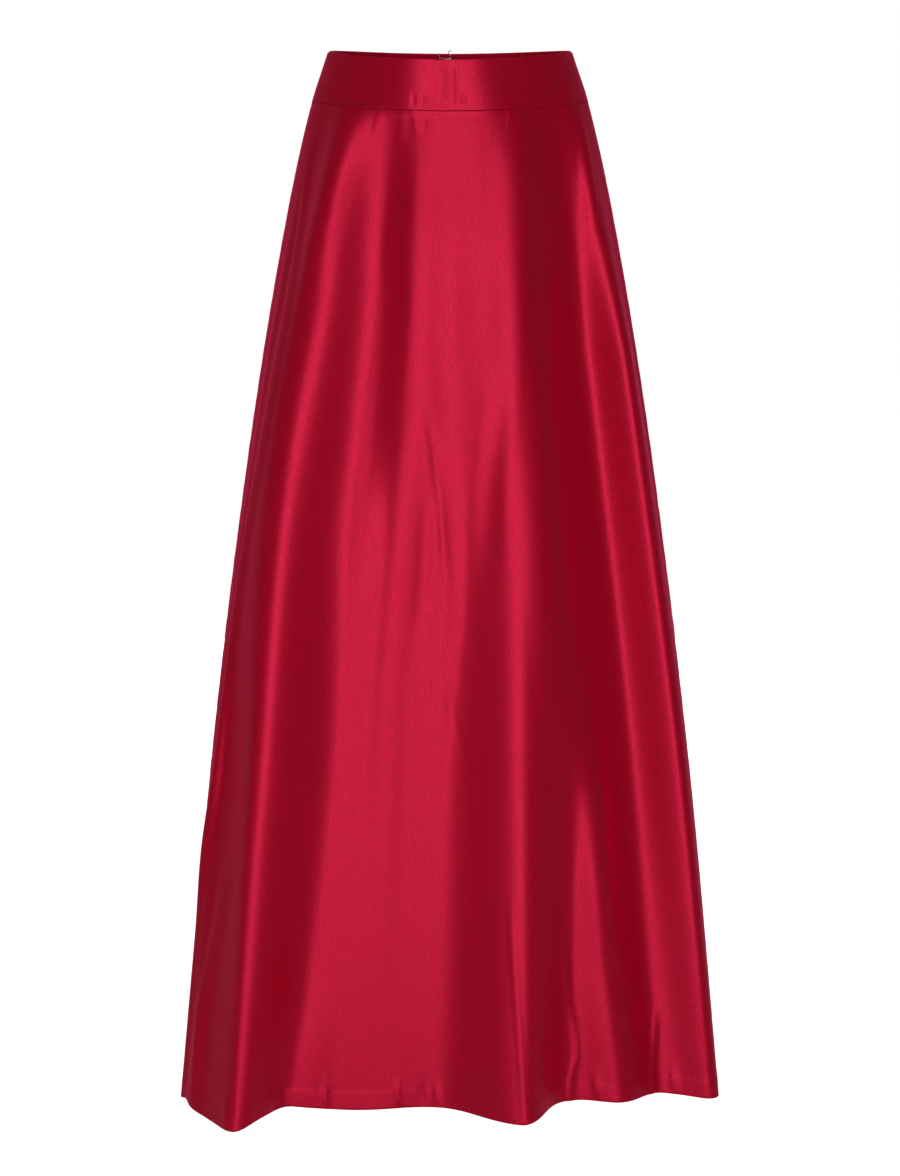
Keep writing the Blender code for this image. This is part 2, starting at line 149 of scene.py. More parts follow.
@dataclass(frozen=True)
class Crease:
    """A fine crease or ripple in the cloth, on top of the deep folds.

    Attributes:
        name: what it is.
        path: drops and the angle in degrees at each, from its upper end to its lower one.
        left: half width on the side of smaller angles, in metres.
        right: half width on the side of larger angles.
        height: how far it stands out, below zero for a trough.
        fade: share of its length over which each end dies away.
    """

    name: str
    path: tuple[tuple[float, float], ...]
    left: float
    right: float
    height: float
    fade: float = 0.35

    def strength(self, drop: Array) -> Array:
        """How much of the crease there is at each drop, from 0 to 1."""
        first, last = self.path[0][0], self.path[-1][0]
        reach = max(self.fade * (last - first), 1e-6)
        return ease((drop - first) / reach) * ease((last - drop) / reach)

    def centre(self, drop: Array) -> Array:
        """Angle in radians of its middle line at each drop."""
        drops = [row[0] for row in self.path]
        angles = [math.radians(row[1]) for row in self.path]
        held = np.clip(drop, drops[0], drops[-1])
        return smooth_curve(drops, angles, held)

    def profile(self, along: Array) -> Array:
        """Height of the crease across it, as a share of its full height."""
        near = np.abs(along) / np.where(along < 0.0, self.left, self.right)
        return 0.5 + 0.5 * np.cos(np.pi * np.clip(near, 0.0, 1.0))


def small_creases(name: str, rows: Sequence[tuple[float, ...]]) -> tuple[Crease, ...]:
    """Short straight creases of one kind.

    Args:
        name: what they are.
        rows: drop and angle of the upper end and of the lower end, both half widths,
            height and fade of each.

    Returns:
        The creases.
    """
    return tuple(Crease(name, (row[0:2], row[2:4]), *row[4:]) for row in rows)


@dataclass(frozen=True)
class Drape:
    """Worn shape of the cloth: level sections, the folds in them and the fine creases.

    Attributes:
        sections: drop, half width, depth in front, depth behind and the sides' y.
        hem_level: angle in degrees, and how far the hem stands above level there.
        folds: the deep folds.
        creases: the fine creases.
        dip_centre: how far the top of the waistband dips at the centre front and back.
        dip_side: how far it dips at the side seams.
        dip_side_span: how wide that dip is, in degrees.
        dip_fade: how far below the waistband the dips have died away.
    """

    sections: tuple[tuple[float, ...], ...]
    hem_level: tuple[tuple[float, float], ...]
    folds: tuple[Fold, ...]
    creases: tuple[Crease, ...]
    dip_centre: float = 0.0058
    dip_side: float = 0.0060
    dip_side_span: float = 7.0
    dip_fade: float = 0.35

    def measures(self, drop: Array) -> list[Array]:
        """Half width, front depth, back depth and side line at each drop, as columns."""
        drops = [row[0] for row in self.sections]
        found = []
        for k in range(1, 5):
            values = [row[k] for row in self.sections]
            found.append(smooth_curve(drops, values, drop)[:, None])
        return found

    def plain(self, angle: Array, drop: Array) -> tuple[Array, Array]:
        """X and Y of the plain section at each angle and drop, before its folds."""
        half, front, back, side = self.measures(drop)
        depth = np.where(np.cos(angle) > 0.0, front + side, back - side)
        return half * np.sin(angle), side - depth * np.cos(angle)

    def round_lengths(self, drop: Array) -> tuple[Array, Array]:
        """Length round the plain section from the centre back.

        Args:
            drop: one drop for each row.

        Returns:
            The angles of the table, and the lengths there for each row.
        """
        fine = np.radians(np.linspace(-180.0, 180.0, ROUND_STEPS + 1))
        x, y = self.plain(np.tile(fine, (len(drop), 1)), drop)
        steps = np.hypot(np.diff(x, axis=1), np.diff(y, axis=1))
        run = np.concatenate([np.zeros((len(drop), 1)), np.cumsum(steps, axis=1)], axis=1)
        return fine, run

    def lengths_at(self, angle: Array, fine: Array, run: Array) -> Array:
        """Length round each row's section at its angles."""
        held = (angle + np.pi) % (2.0 * np.pi) - np.pi
        return np.array([np.interp(held[r], fine, run[r]) for r in range(len(run))])

    def surface(self, angle: Array, drop: Array) -> Array:
        """Points of the cloth's outer face with its deep folds.

        Args:
            angle: angles in radians, rows by columns.
            drop: one drop for each row.

        Returns:
            The points, rows by columns by 3.
        """
        x, y = self.plain(angle, drop)
        fine, run = self.round_lengths(drop)
        here = self.lengths_at(angle, fine, run)
        total = run[:, -1:]
        for fold in self.folds:
            centre = np.radians(smooth_curve(FOLD_DROPS, fold.centre, drop))[:, None]
            along = here - self.lengths_at(centre, fine, run)
            along = along - np.round(along / total) * total
            grown = np.clip((drop - fold.start) / (fold.full - fold.start), 0.0, 1.0)[:, None]
            left = fold.width(fold.left, grown)
            right = fold.width(fold.right, grown)
            near = np.clip(np.abs(along) / np.where(along < 0.0, left, right), 0.0, 1.0)
            dying = np.clip((fold.gone - drop) / (fold.gone - fold.full), 0.0, 1.0)[:, None]
            out = fold.height * grown**fold.growth * (0.5 + 0.5 * np.cos(np.pi * near)) * dying
            x = x + math.sin(math.radians(fold.way)) * out
            y = y - math.cos(math.radians(fold.way)) * out
        return np.stack([x, y, self.heights(angle, drop)], axis=-1)

    def face_lengths(self, first: float, last: float, drop: Array, steps: int) -> tuple[Array, Array]:
        """Length along the outer face from one angle.

        Args:
            first: the angle in degrees where it starts.
            last: the angle where it ends.
            drop: one drop for each row.
            steps: in how many steps it is measured.

        Returns:
            The angles of the table and the lengths there, rows by steps.
        """
        fine = np.tile(np.radians(np.linspace(first, last, steps + 1)), (len(drop), 1))
        points = self.surface(fine, drop)
        lengths = np.linalg.norm(np.diff(points, axis=1), axis=-1)
        run = np.concatenate([np.zeros((len(drop), 1)), np.cumsum(lengths, axis=1)], axis=1)
        return fine, run

    def heights(self, angle: Array, drop: Array) -> Array:
        """Z of the cloth at each angle and drop."""
        degrees = np.degrees((angle + np.pi) % (2.0 * np.pi) - np.pi)
        away = ((np.abs(degrees) - 90.0) / self.dip_side_span) ** 2
        dip = self.dip_centre * np.cos(angle) ** 2 + self.dip_side * np.exp(-away)
        fading = np.clip(1.0 - (drop - BAND_HEIGHT) / self.dip_fade, 0.0, 1.0)[:, None]
        levels = [row[0] for row in self.hem_level], [row[1] for row in self.hem_level]
        lift = smooth_curve(levels[0], levels[1], degrees) * ((drop / HEM) ** 5)[:, None]
        return lift - dip * fading - drop[:, None]

    def normals(self, angle: Array, drop: Array) -> Array:
        """Outward directions of the cloth's outer face, for the same rows and columns."""
        step = 0.0015
        across = self.surface(angle + step, drop) - self.surface(angle - step, drop)
        upward = self.surface(angle, drop - step) - self.surface(angle, drop + step)
        out = np.cross(across, upward)
        return out / np.linalg.norm(out, axis=-1, keepdims=True)

    def relief(self, angle: Array, drop: Array) -> Array:
        """How far the fine creases stand out of the folded cloth, rows by columns."""
        fine, run = self.round_lengths(drop)
        here = self.lengths_at(angle, fine, run)
        total = run[:, -1:]
        out = np.zeros_like(angle)
        for crease in self.creases:
            strength = crease.strength(drop)[:, None]
            centre = crease.centre(drop)[:, None]
            along = here - self.lengths_at(centre, fine, run)
            along = along - np.round(along / total) * total
            out += crease.height * strength * crease.profile(along)
        return out


SECTIONS = (
    (0.000, 0.1255, 0.086, 0.090, 0.000),
    (0.050, 0.1420, 0.098, 0.104, 0.000),
    (0.200, 0.1748, 0.116, 0.134, 0.000),
    (0.450, 0.2148, 0.120, 0.158, -0.015),
    (0.750, 0.2520, 0.120, 0.178, -0.040),
    (1.095, 0.2820, 0.114, 0.195, -0.070),
)

HEM_LEVEL = (
    (-180.0, 0.000), (-100.0, 0.002), (-76.0, 0.010), (-64.0, 0.001), (-52.0, -0.002),
    (-38.0, 0.009), (-20.0, 0.003), (0.0, 0.006), (14.0, 0.005), (23.0, 0.012),
    (45.0, 0.011), (70.0, 0.007), (100.0, 0.007), (140.0, 0.001), (180.0, 0.000),
)

FOLDS = (
    Fold("right front crest", (-44.5, -56.5, -51.0, -50.5), 0.045, 1.10, 9.0, 0.42,
         (0.030, 0.050), (0.056, 0.090, 0.088, 0.078, 0.054), 0.058, -4.0),
    Fold("flat beside the crest", (-50.0, -50.0, -50.0, -50.0), 0.10, 0.55, 9.0, 1.00,
         (0.080, 0.110), (0.160, 0.190), 0.015, -4.0),
    Fold("front shoulder", (24.0, 23.0, 20.5, 18.0), 0.00, 0.25, 9.0, 1.00,
         (0.070, 0.095), (0.036, 0.056), 0.013, 4.0),
    Fold("front crest", (22.0, 20.0, 15.8, 15.0), 0.28, 1.10, 9.0, 1.25,
         (0.052, 0.095), (0.060, 0.066, 0.048), 0.045, 4.0),
    Fold("lobe", (30.0, 28.5, 33.0, 38.5), 0.38, 1.00, 9.0, 0.85,
         (0.045, 0.044), (0.030, 0.060), 0.0125, 20.0),
    Fold("valley beside it", (47.0, 49.5, 52.5, 59.5), 0.02, 0.30, 9.0, 1.00,
         (0.040, 0.075), (0.036, 0.044), -0.024, 20.0),
    Fold("left flare fold", (58.5, 62.5, 66.5, 68.0), 0.04, 0.30, 9.0, 1.00,
         (0.030, 0.045), (0.030, 0.040), 0.020, 30.0),
    Fold("right side fold", (-68.0, -72.0, -75.5, -80.0), 0.08, 0.60, 9.0, 1.00,
         (0.012, 0.014), (0.036, 0.050), 0.013, -20.0),
    Fold("right hem fold", (-64.0, -66.0, -67.0, -68.0), 0.75, 1.10, 9.0, 1.00,
         (0.014, 0.018), (0.030, 0.045), 0.010, -30.0),
    Fold("back left crest", (128.0, 133.0, 134.5, 136.0), 0.15, 1.10, 9.0, 1.00,
         (0.045, 0.075), (0.040, 0.065), 0.038, 170.0),
    Fold("back inner left", (158.0, 162.0, 163.5, 165.0), 0.38, 1.10, 9.0, 1.00,
         (0.035, 0.050), (0.030, 0.050), 0.024, 180.0),
    Fold("back inner right", (-157.0, -155.0, -154.0, -153.0), 0.28, 1.10, 9.0, 1.00,
         (0.038, 0.065), (0.040, 0.060), 0.034, 185.0),
    Fold("back right crest", (-122.0, -121.0, -120.5, -120.0), 0.12, 1.10, 9.0, 1.00,
         (0.040, 0.060), (0.040, 0.060), 0.032, 200.0),
)

FRONT_CREASES = (
    Crease("band fold", ((0.000, 0.6), (0.050, 0.4)), 0.010, 0.008, -0.0006, 0.3),
    Crease("band flat right", ((-0.01, -17.5), (0.06, -17.0)), 0.044, 0.040, 0.0026, 0.1),
    Crease("band flat left", ((-0.01, 14.0), (0.06, 14.0)), 0.036, 0.042, 0.0015, 0.1),
    Crease("left of centre", ((0.16, -17.0), (0.24, -16.0), (0.45, -12.5), (0.65, -14.5),
           (0.87, -15.0), (1.05, -14.0)), 0.020, 0.020, 0.0010, 0.25),
    Crease("centre", ((0.34, -3.0), (0.45, 1.0), (0.55, 1.3), (0.65, -1.5), (0.78, -3.0)), 0.014,
           0.014, 0.0009),
    Crease("upper crest", ((0.04, -46.0), (0.12, -48.0), (0.18, -51.0), (0.27, -53.0)), 0.022,
           0.028, 0.0024, 0.4),
    Crease("hollow beside the crest", ((0.04, -25.0), (0.12, -24.0), (0.18, -24.5), (0.24, -22.5),
           (0.34, -23.0), (0.50, -24.0)), 0.060, 0.034, -0.0056, 0.30),
    Crease("edge of the centre light", ((0.05, -13.0), (0.12, -11.0), (0.24, -10.0), (0.36, -8.5),
           (0.47, -8.0)), 0.026, 0.040, 0.0026, 0.3),
    Crease("shoulder of the centre", ((0.04, 27.0), (0.12, 25.5), (0.24, 22.0), (0.36, 20.0)),
           0.035, 0.020, 0.0032, 0.3),
    Crease("lobe's beginning", ((0.66, 35.0), (0.76, 36.0), (0.87, 35.5), (0.95, 36.5)), 0.030,
           0.030, 0.0060, 0.4),
    Crease("hem beside the crest", ((0.93, -33.0), (1.02, -33.5), (1.20, -34.0)), 0.034, 0.040,
           0.0045, 0.45),
    Crease("ridge down the right side", ((0.07, -69.0), (0.10, -67.0), (0.16, -62.5), (0.21, -61.4),
           (0.35, -63.4), (0.41, -65.1), (0.50, -68.0), (0.66, -69.4), (0.75, -71.7), (0.82, -75.7),
           (0.92, -81.7)), 0.009, 0.010, 0.0034, 0.15),
    Crease("ridge low on the right side", ((0.80, -59.5), (0.87, -61.8), (0.94, -65.0),
           (1.00, -67.7), (1.12, -67.6)), 0.010, 0.012, 0.0035, 0.25),
    Crease("ridge on the left hip", ((0.05, 66.0), (0.09, 62.0), (0.125, 60.0), (0.19, 57.0)),
           0.015, 0.010, 0.0026, 0.40),
    Crease("upper diagonal", ((0.32, -9.0), (0.36, -6.5), (0.42, -3.8), (0.51, -1.2), (0.56, 0.6)),
           0.006, 0.009, -0.0007, 0.35),
    Crease("lower diagonal", ((0.60, -3.0), (0.64, -1.2), (0.68, 1.4), (0.73, 4.2)), 0.006, 0.009,
           -0.0006, 0.40),
    Crease("right ripple", ((0.30, -15.0), (0.40, -17.0), (0.50, -18.3), (0.62, -20.0),
           (0.75, -21.2), (0.92, -22.0)), 0.018, 0.016, -0.0008, 0.30),
    Crease("ripple beside the centre", ((0.40, -5.0), (0.46, -6.0), (0.54, -7.0), (0.62, -8.5)),
           0.013, 0.012, -0.0010, 0.40),
    Crease("dip of the left shoulder", ((0.28, 16.0), (0.34, 14.4), (0.44, 10.9), (0.55, 9.5)),
           0.018, 0.018, -0.0014, 0.35),
    Crease("outer lobe line", ((0.90, 26.0), (0.97, 26.4), (1.04, 28.4), (1.07, 26.6),
           (1.12, 26.0)), 0.005, 0.007, 0.0020, 0.25),
    Crease("outer flare line", ((0.99, 54.5), (1.02, 53.4), (1.06, 51.6), (1.12, 49.5)), 0.005,
           0.007, 0.0020, 0.30),
    Crease("edge of the front crest", ((0.84, 12.8), (0.94, 13.7), (1.03, 14.6), (1.12, 15.3)),
           0.006, 0.006, 0.0013, 0.25),
)

BACK_CREASES = (
    Crease("left hip ripple", ((0.05, 112.0), (0.14, 110.0), (0.30, 108.0), (0.48, 107.0)), 0.022,
           0.026, 0.0024, 0.35),
    Crease("seat ripple, left", ((0.09, 146.0), (0.20, 148.0), (0.34, 149.0), (0.50, 150.0)), 0.024,
           0.020, 0.0020, 0.35),
    Crease("seat ripple, right", ((0.08, -141.0), (0.18, -139.0), (0.30, -138.0), (0.46, -137.0)),
           0.022, 0.024, 0.0022, 0.35),
    Crease("right hip ripple", ((0.05, -107.0), (0.16, -104.0), (0.32, -102.0), (0.52, -101.0)),
           0.024, 0.026, 0.0024, 0.35),
    Crease("diagonal below the zip", ((0.20, 171.0), (0.26, 166.0), (0.33, 160.0), (0.40, 153.0)),
           0.010, 0.014, 0.0012, 0.40),
    Crease("diagonal beside it", ((0.22, -172.0), (0.29, -168.0), (0.38, -164.0)), 0.010, 0.013,
           0.0011, 0.40),
    Crease("long ripple, left", ((0.50, 121.0), (0.70, 119.0), (0.90, 118.0), (1.05, 118.5)), 0.020,
           0.020, 0.0016, 0.30),
    Crease("long ripple, right", ((0.46, -136.0), (0.66, -138.0), (0.88, -138.5), (1.04, -138.0)),
           0.020, 0.022, 0.0016, 0.30),
)

SEAM_TUCKS = small_creases("tuck over the waist seam", (
    (0.030, -15.4, 0.050, -15.0, 0.003, 0.005, -0.0005, 0.45),
    (0.032, -9.8, 0.050, -9.4, 0.003, 0.004, -0.0004, 0.45),
    (0.030, 5.5, 0.050, 5.2, 0.003, 0.005, -0.0005, 0.45),
    (0.026, 55.5, 0.050, 49.0, 0.004, 0.006, -0.0008, 0.40),
    (0.028, 69.5, 0.050, 62.0, 0.004, 0.006, -0.0007, 0.40),
    (0.022, 62.5, 0.050, 56.0, 0.005, 0.006, 0.0007, 0.40),
    (0.030, -41.0, 0.050, -39.5, 0.004, 0.005, -0.0005, 0.45),
))

SEAM_PULLS = small_creases("pull under the waist seam", (
    (0.044, 24.6, 0.075, 23.0, 0.004, 0.006, 0.0004, 0.45),
    (0.046, -15.6, 0.078, -12.2, 0.004, 0.005, 0.0004, 0.45),
    (0.046, -10.3, 0.074, -9.8, 0.003, 0.005, -0.0003, 0.45),
    (0.046, -20.0, 0.090, -18.5, 0.006, 0.008, 0.0004, 0.45),
    (0.046, -29.0, 0.085, -30.5, 0.006, 0.008, 0.0004, 0.45),
    (0.046, 33.0, 0.082, 34.0, 0.005, 0.008, -0.0006, 0.45),
))

HEM_TUCKS = small_creases("hem tuck", (
    (1.058, -53.9, 1.10, -53.5, 0.006, 0.007, 0.0017, 0.45),
    (1.062, -41.9, 1.10, -41.5, 0.007, 0.006, 0.0017, 0.45),
    (1.056, -38.3, 1.10, -37.8, 0.006, 0.006, -0.0015, 0.45),
    (1.060, -27.7, 1.10, -27.3, 0.006, 0.007, 0.0015, 0.45),
    (1.058, -11.4, 1.10, -11.0, 0.006, 0.006, 0.0017, 0.45),
    (1.062, -6.2, 1.10, -5.9, 0.005, 0.006, -0.0014, 0.45),
    (1.058, -3.0, 1.10, -2.7, 0.006, 0.006, 0.0015, 0.45),
    (1.056, 32.4, 1.10, 32.9, 0.006, 0.007, 0.0017, 0.45),
    (1.058, 58.2, 1.10, 58.7, 0.006, 0.006, 0.0015, 0.45),
    (1.058, 111.8, 1.10, 112.2, 0.006, 0.006, 0.0015, 0.45),
    (1.060, 126.6, 1.10, 127.2, 0.006, 0.007, -0.0014, 0.45),
    (1.056, 148.7, 1.10, 149.3, 0.006, 0.006, 0.0017, 0.45),
    (1.060, 170.6, 1.10, 171.0, 0.006, 0.006, 0.0008, 0.45),
    (1.058, -168.3, 1.10, -167.8, 0.006, 0.006, 0.0015, 0.45),
    (1.062, -143.4, 1.10, -142.9, 0.006, 0.007, 0.0017, 0.45),
    (1.058, -131.3, 1.10, -130.8, 0.006, 0.006, -0.0014, 0.45),
    (1.060, -108.2, 1.10, -107.8, 0.006, 0.006, 0.0015, 0.45),
))

SKIRT_DRAPE = Drape(SECTIONS, HEM_LEVEL, FOLDS,
                    FRONT_CREASES + SEAM_TUCKS + SEAM_PULLS + BACK_CREASES + HEM_TUCKS)


def deselect() -> None:
    """Leave nothing selected, so that the next operator acts on the new piece alone."""
    bpy.ops.object.select_all(action="DESELECT")


def choose(obj: bpy.types.Object) -> None:
    """Make one object the only selected and the active one."""
    deselect()
    obj.select_set(True)
    bpy.context.view_layer.objects.active = obj


def apply_modifier(obj: bpy.types.Object, modifier: bpy.types.Modifier) -> None:
    """Apply one modifier of an object."""
    choose(obj)
    bpy.ops.object.modifier_apply(modifier=modifier.name)


def thicken(obj: bpy.types.Object, wall: float, inner: int = 0) -> None:
    """Give a sheet its thickness, inwards.

    Args:
        obj: the sheet.
        wall: its thickness.
        inner: how far down its list of finishes the inner face's finish is.
    """
    modifier = obj.modifiers.new("wall", "SOLIDIFY")
    modifier.thickness = wall
    modifier.offset = -1.0
    modifier.material_offset = inner
    apply_modifier(obj, modifier)


def round_edges(obj: bpy.types.Object, radius: float, segments: int) -> None:
    """Round a piece's sharp edges."""
    modifier = obj.modifiers.new("rounded edges", "BEVEL")
    modifier.width = radius
    modifier.segments = segments
    modifier.limit_method = "ANGLE"
    modifier.angle_limit = math.radians(SHARP_ANGLE)
    apply_modifier(obj, modifier)


def dress(obj: bpy.types.Object, *finishes: bpy.types.Material) -> None:
    """Give a piece its finishes in place of any that it has."""
    obj.data.materials.clear()
    for finish in finishes:
        obj.data.materials.append(finish)


def triangles(obj: bpy.types.Object) -> int:
    """Number of triangles that an object's faces make."""
    return sum(len(face.vertices) - 2 for face in obj.data.polygons)


def report(obj: bpy.types.Object) -> None:
    """Log a finished piece and its size."""
    log.info("%s: %d triangles", obj.name, triangles(obj))


def placed(point: Array, out: Array, along: Array) -> Matrix:
    """Place with its Y along one direction and its X as near as can be to another.

    Args:
        point: where it is.
        out: the direction of its Y.
        along: the direction that its X leans to.

    Returns:
        The place as a matrix.
    """
    y = Vector(out).normalized()
    x = Vector(along)
    x = (x - y * x.dot(y)).normalized()
    z = x.cross(y)
    turned = Matrix((x, y, z)).transposed().to_4x4()
    return Matrix.Translation(Vector(point)) @ turned


def repeat(pattern: bpy.types.Object, places: Sequence[Matrix]) -> bpy.types.Object:
    """Copy a small piece to many places and join the copies in its own object.

    Args:
        pattern: the piece, modelled about the origin.
        places: a place for each copy.

    Returns:
        The object, which now holds the copies.
    """
    work = bmesh.new()
    for place in places:
        copy = pattern.data.copy()
        copy.transform(place)
        work.from_mesh(copy)
        bpy.data.meshes.remove(copy)
    work.to_mesh(pattern.data)
    work.free()
    pattern.data.shade_smooth()
    return pattern


def pick_points(obj: bpy.types.Object, wanted: Callable[[Vector], bool]) -> None:
    """Go into edit mode with only the points chosen that lie where they are wanted."""
    choose(obj)
    bpy.ops.object.mode_set(mode="EDIT")
    bpy.ops.mesh.select_mode(type="VERT")
    bpy.ops.mesh.select_all(action="DESELECT")
    bpy.ops.object.mode_set(mode="OBJECT")
    for vertex in obj.data.vertices:
        vertex.select = wanted(vertex.co)
    bpy.ops.object.mode_set(mode="EDIT")


def drawn_ring(name: str, radius: float, wire: float, shift: Point) -> bpy.types.Object:
    """Ring of round wire about the origin, with its half towards +X moved.

    Args:
        name: the piece's name.
        radius: radius of the ring.
        wire: radius of the wire.
        shift: how far that half is moved.

    Returns:
        The ring.
    """
    deselect()
    bpy.ops.mesh.primitive_torus_add(major_segments=10, minor_segments=5, major_radius=radius,
                                     minor_radius=wire)
    obj = bpy.context.object
    obj.name = name
    obj.data.name = name
    pick_points(obj, lambda place: place.x > 0.0001)
    bpy.ops.transform.translate(value=shift)
    bpy.ops.object.mode_set(mode="OBJECT")
    return obj


def round_curve(name: str, radius: float, resolution: int) -> bpy.types.Curve:
    """Empty curve that becomes a round wire."""
    curve = bpy.data.curves.new(name, "CURVE")
    curve.dimensions = "3D"
    curve.bevel_depth = radius
    curve.bevel_resolution = resolution
    curve.use_fill_caps = True
    return curve


def wire_piece(name: str, curve: bpy.types.Curve, home: Matrix) -> bpy.types.Object:
    """Turn a curve into a piece at its place.

    Args:
        name: the piece's name.
        curve: the curve, about the origin.
        home: its place.

    Returns:
        The piece.
    """
    obj = bpy.data.objects.new(name, curve)
    bpy.context.scene.collection.objects.link(obj)
    choose(obj)
    bpy.ops.object.convert(target="MESH")
    obj.data.transform(home)
    obj.data.shade_smooth()
    return obj


def angles_at(across: Array, fine: Array, run: Array) -> Array:
    """Angles at lengths along each row, from a table of angles and lengths."""
    return np.array([np.interp(across[r], run[r], fine[r]) for r in range(len(run))])


def flat_places(across: Array, down: Array) -> Array:
    """Places on the flat cloth, from each point's place across it and each row's down it."""
    return np.stack([across, -np.tile(down[:, None], (1, across.shape[1]))], axis=-1)


@dataclass(frozen=True)
class Puckers:
    """Small uneven waves that a seam draws in the cloth beside it.

    Attributes:
        first: radians in a metre along the seam and phase of the first wave.
        second: the same of the second wave.
        share: height of the second wave, as a share of the first's.
        height: height of the first wave at the seam.
        reach: distance from the seam over which the waves die away.
    """

    first: tuple[float, float]
    second: tuple[float, float]
    share: float
    height: float
    reach: float

    def at(self, along: Array, away: Array) -> Array:
        """Height of the waves at places along the seam and away from it."""
        first = np.sin(along * self.first[0] + self.first[1])
        second = np.sin(along * self.second[0] + self.second[1])
        return self.height * (first + self.share * second) * np.exp(-away / self.reach)


SIDE_PUCKERS = Puckers((171.0, 0.7), (263.0, 2.1), 0.7, 0.00022, 0.0070)
WAIST_GATHERS = Puckers((151.0, 0.4), (97.0, 1.9), 0.8, 0.00016, 0.0100)
HEM_WAVES = Puckers((63.0, 1.0), (105.0, 2.6), 0.8, 0.00050, 0.0160)
BAND_WAVES = Puckers((88.0, 0.3), (143.0, 1.1), 0.7, 0.00014, 0.0100)


def seam_dip(away: Array, depth: float, reach: float) -> Array:
    """How far the cloth dips towards a seam, at distances from it."""
    return depth * np.exp(-away / reach)


@dataclass(frozen=True)
class Grid:
    """Where the rows and columns of a sheet lie on the drape.

    Attributes:
        angle: angles in radians, rows by columns.
        drop: one drop for each row.
        depth: how far behind the drape each point lies, rows by columns.
        flat: place on the flat cloth in metres, rows by columns by 2.
    """

    angle: Array
    drop: Array
    depth: Array
    flat: Array

    def sheet(self, name: str, drape: Drape, relief: Array) -> bpy.types.Object:
        """Grid primitive whose vertices are moved onto the drape.

        Args:
            name: the piece's name.
            drape: the worn shape.
            relief: how far each point stands out of it, rows by columns.

        Returns:
            The open sheet, with its map of the flat cloth.
        """
        rows, columns = self.angle.shape
        out = drape.normals(self.angle, self.drop)
        points = drape.surface(self.angle, self.drop) + out * (relief - self.depth)[..., None]
        deselect()
        bpy.ops.mesh.primitive_grid_add(x_subdivisions=columns - 1, y_subdivisions=rows - 1, size=2.0)
        obj = bpy.context.object
        obj.name = name
        mesh = obj.data
        mesh.name = name
        flat = np.empty(len(mesh.vertices) * 3, np.float32)
        mesh.vertices.foreach_get("co", flat)
        flat = flat.reshape(-1, 3)
        column = np.rint((flat[:, 0] + 1.0) * 0.5 * (columns - 1)).astype(int)
        row = np.rint((1.0 - flat[:, 1]) * 0.5 * (rows - 1)).astype(int)
        mesh.vertices.foreach_set("co", points[row, column].astype(np.float32).ravel())
        corner = np.empty(len(mesh.loops), np.int32)
        mesh.loops.foreach_get("vertex_index", corner)
        places = self.flat[row, column][corner]
        mesh.uv_layers[0].name = CLOTH_MAP
        mesh.uv_layers[0].data.foreach_set("uv", places.astype(np.float32).ravel())
        mesh.update()
        mesh.shade_smooth()
        return obj


@dataclass(frozen=True)
class SeamEdge:
    """How cloth turns in at a seam.

    Attributes:
        radius: radius of the turned edge.
        fin: how deep the cloth goes inside the seam.
        near: distances from the seam where further columns or rows lie.
    """

    radius: float = 0.0005
    fin: float = 0.0022
    near: tuple[float, ...] = (0.0013, 0.0022, 0.0035, 0.0055)

    def places(self) -> list[tuple[float, float]]:
        """Distance from the seam and depth behind the face, from the seam inwards."""
        turned = [(0.0, self.radius + self.fin), (0.0, self.radius)]
        for turn in (30.0, 60.0):
            across = self.radius * (1.0 - math.cos(math.radians(turn)))
            turned.append((across, self.radius * (1.0 - math.sin(math.radians(turn)))))
        turned.append((self.radius, 0.0))
        return turned + [(distance, 0.0) for distance in self.near]


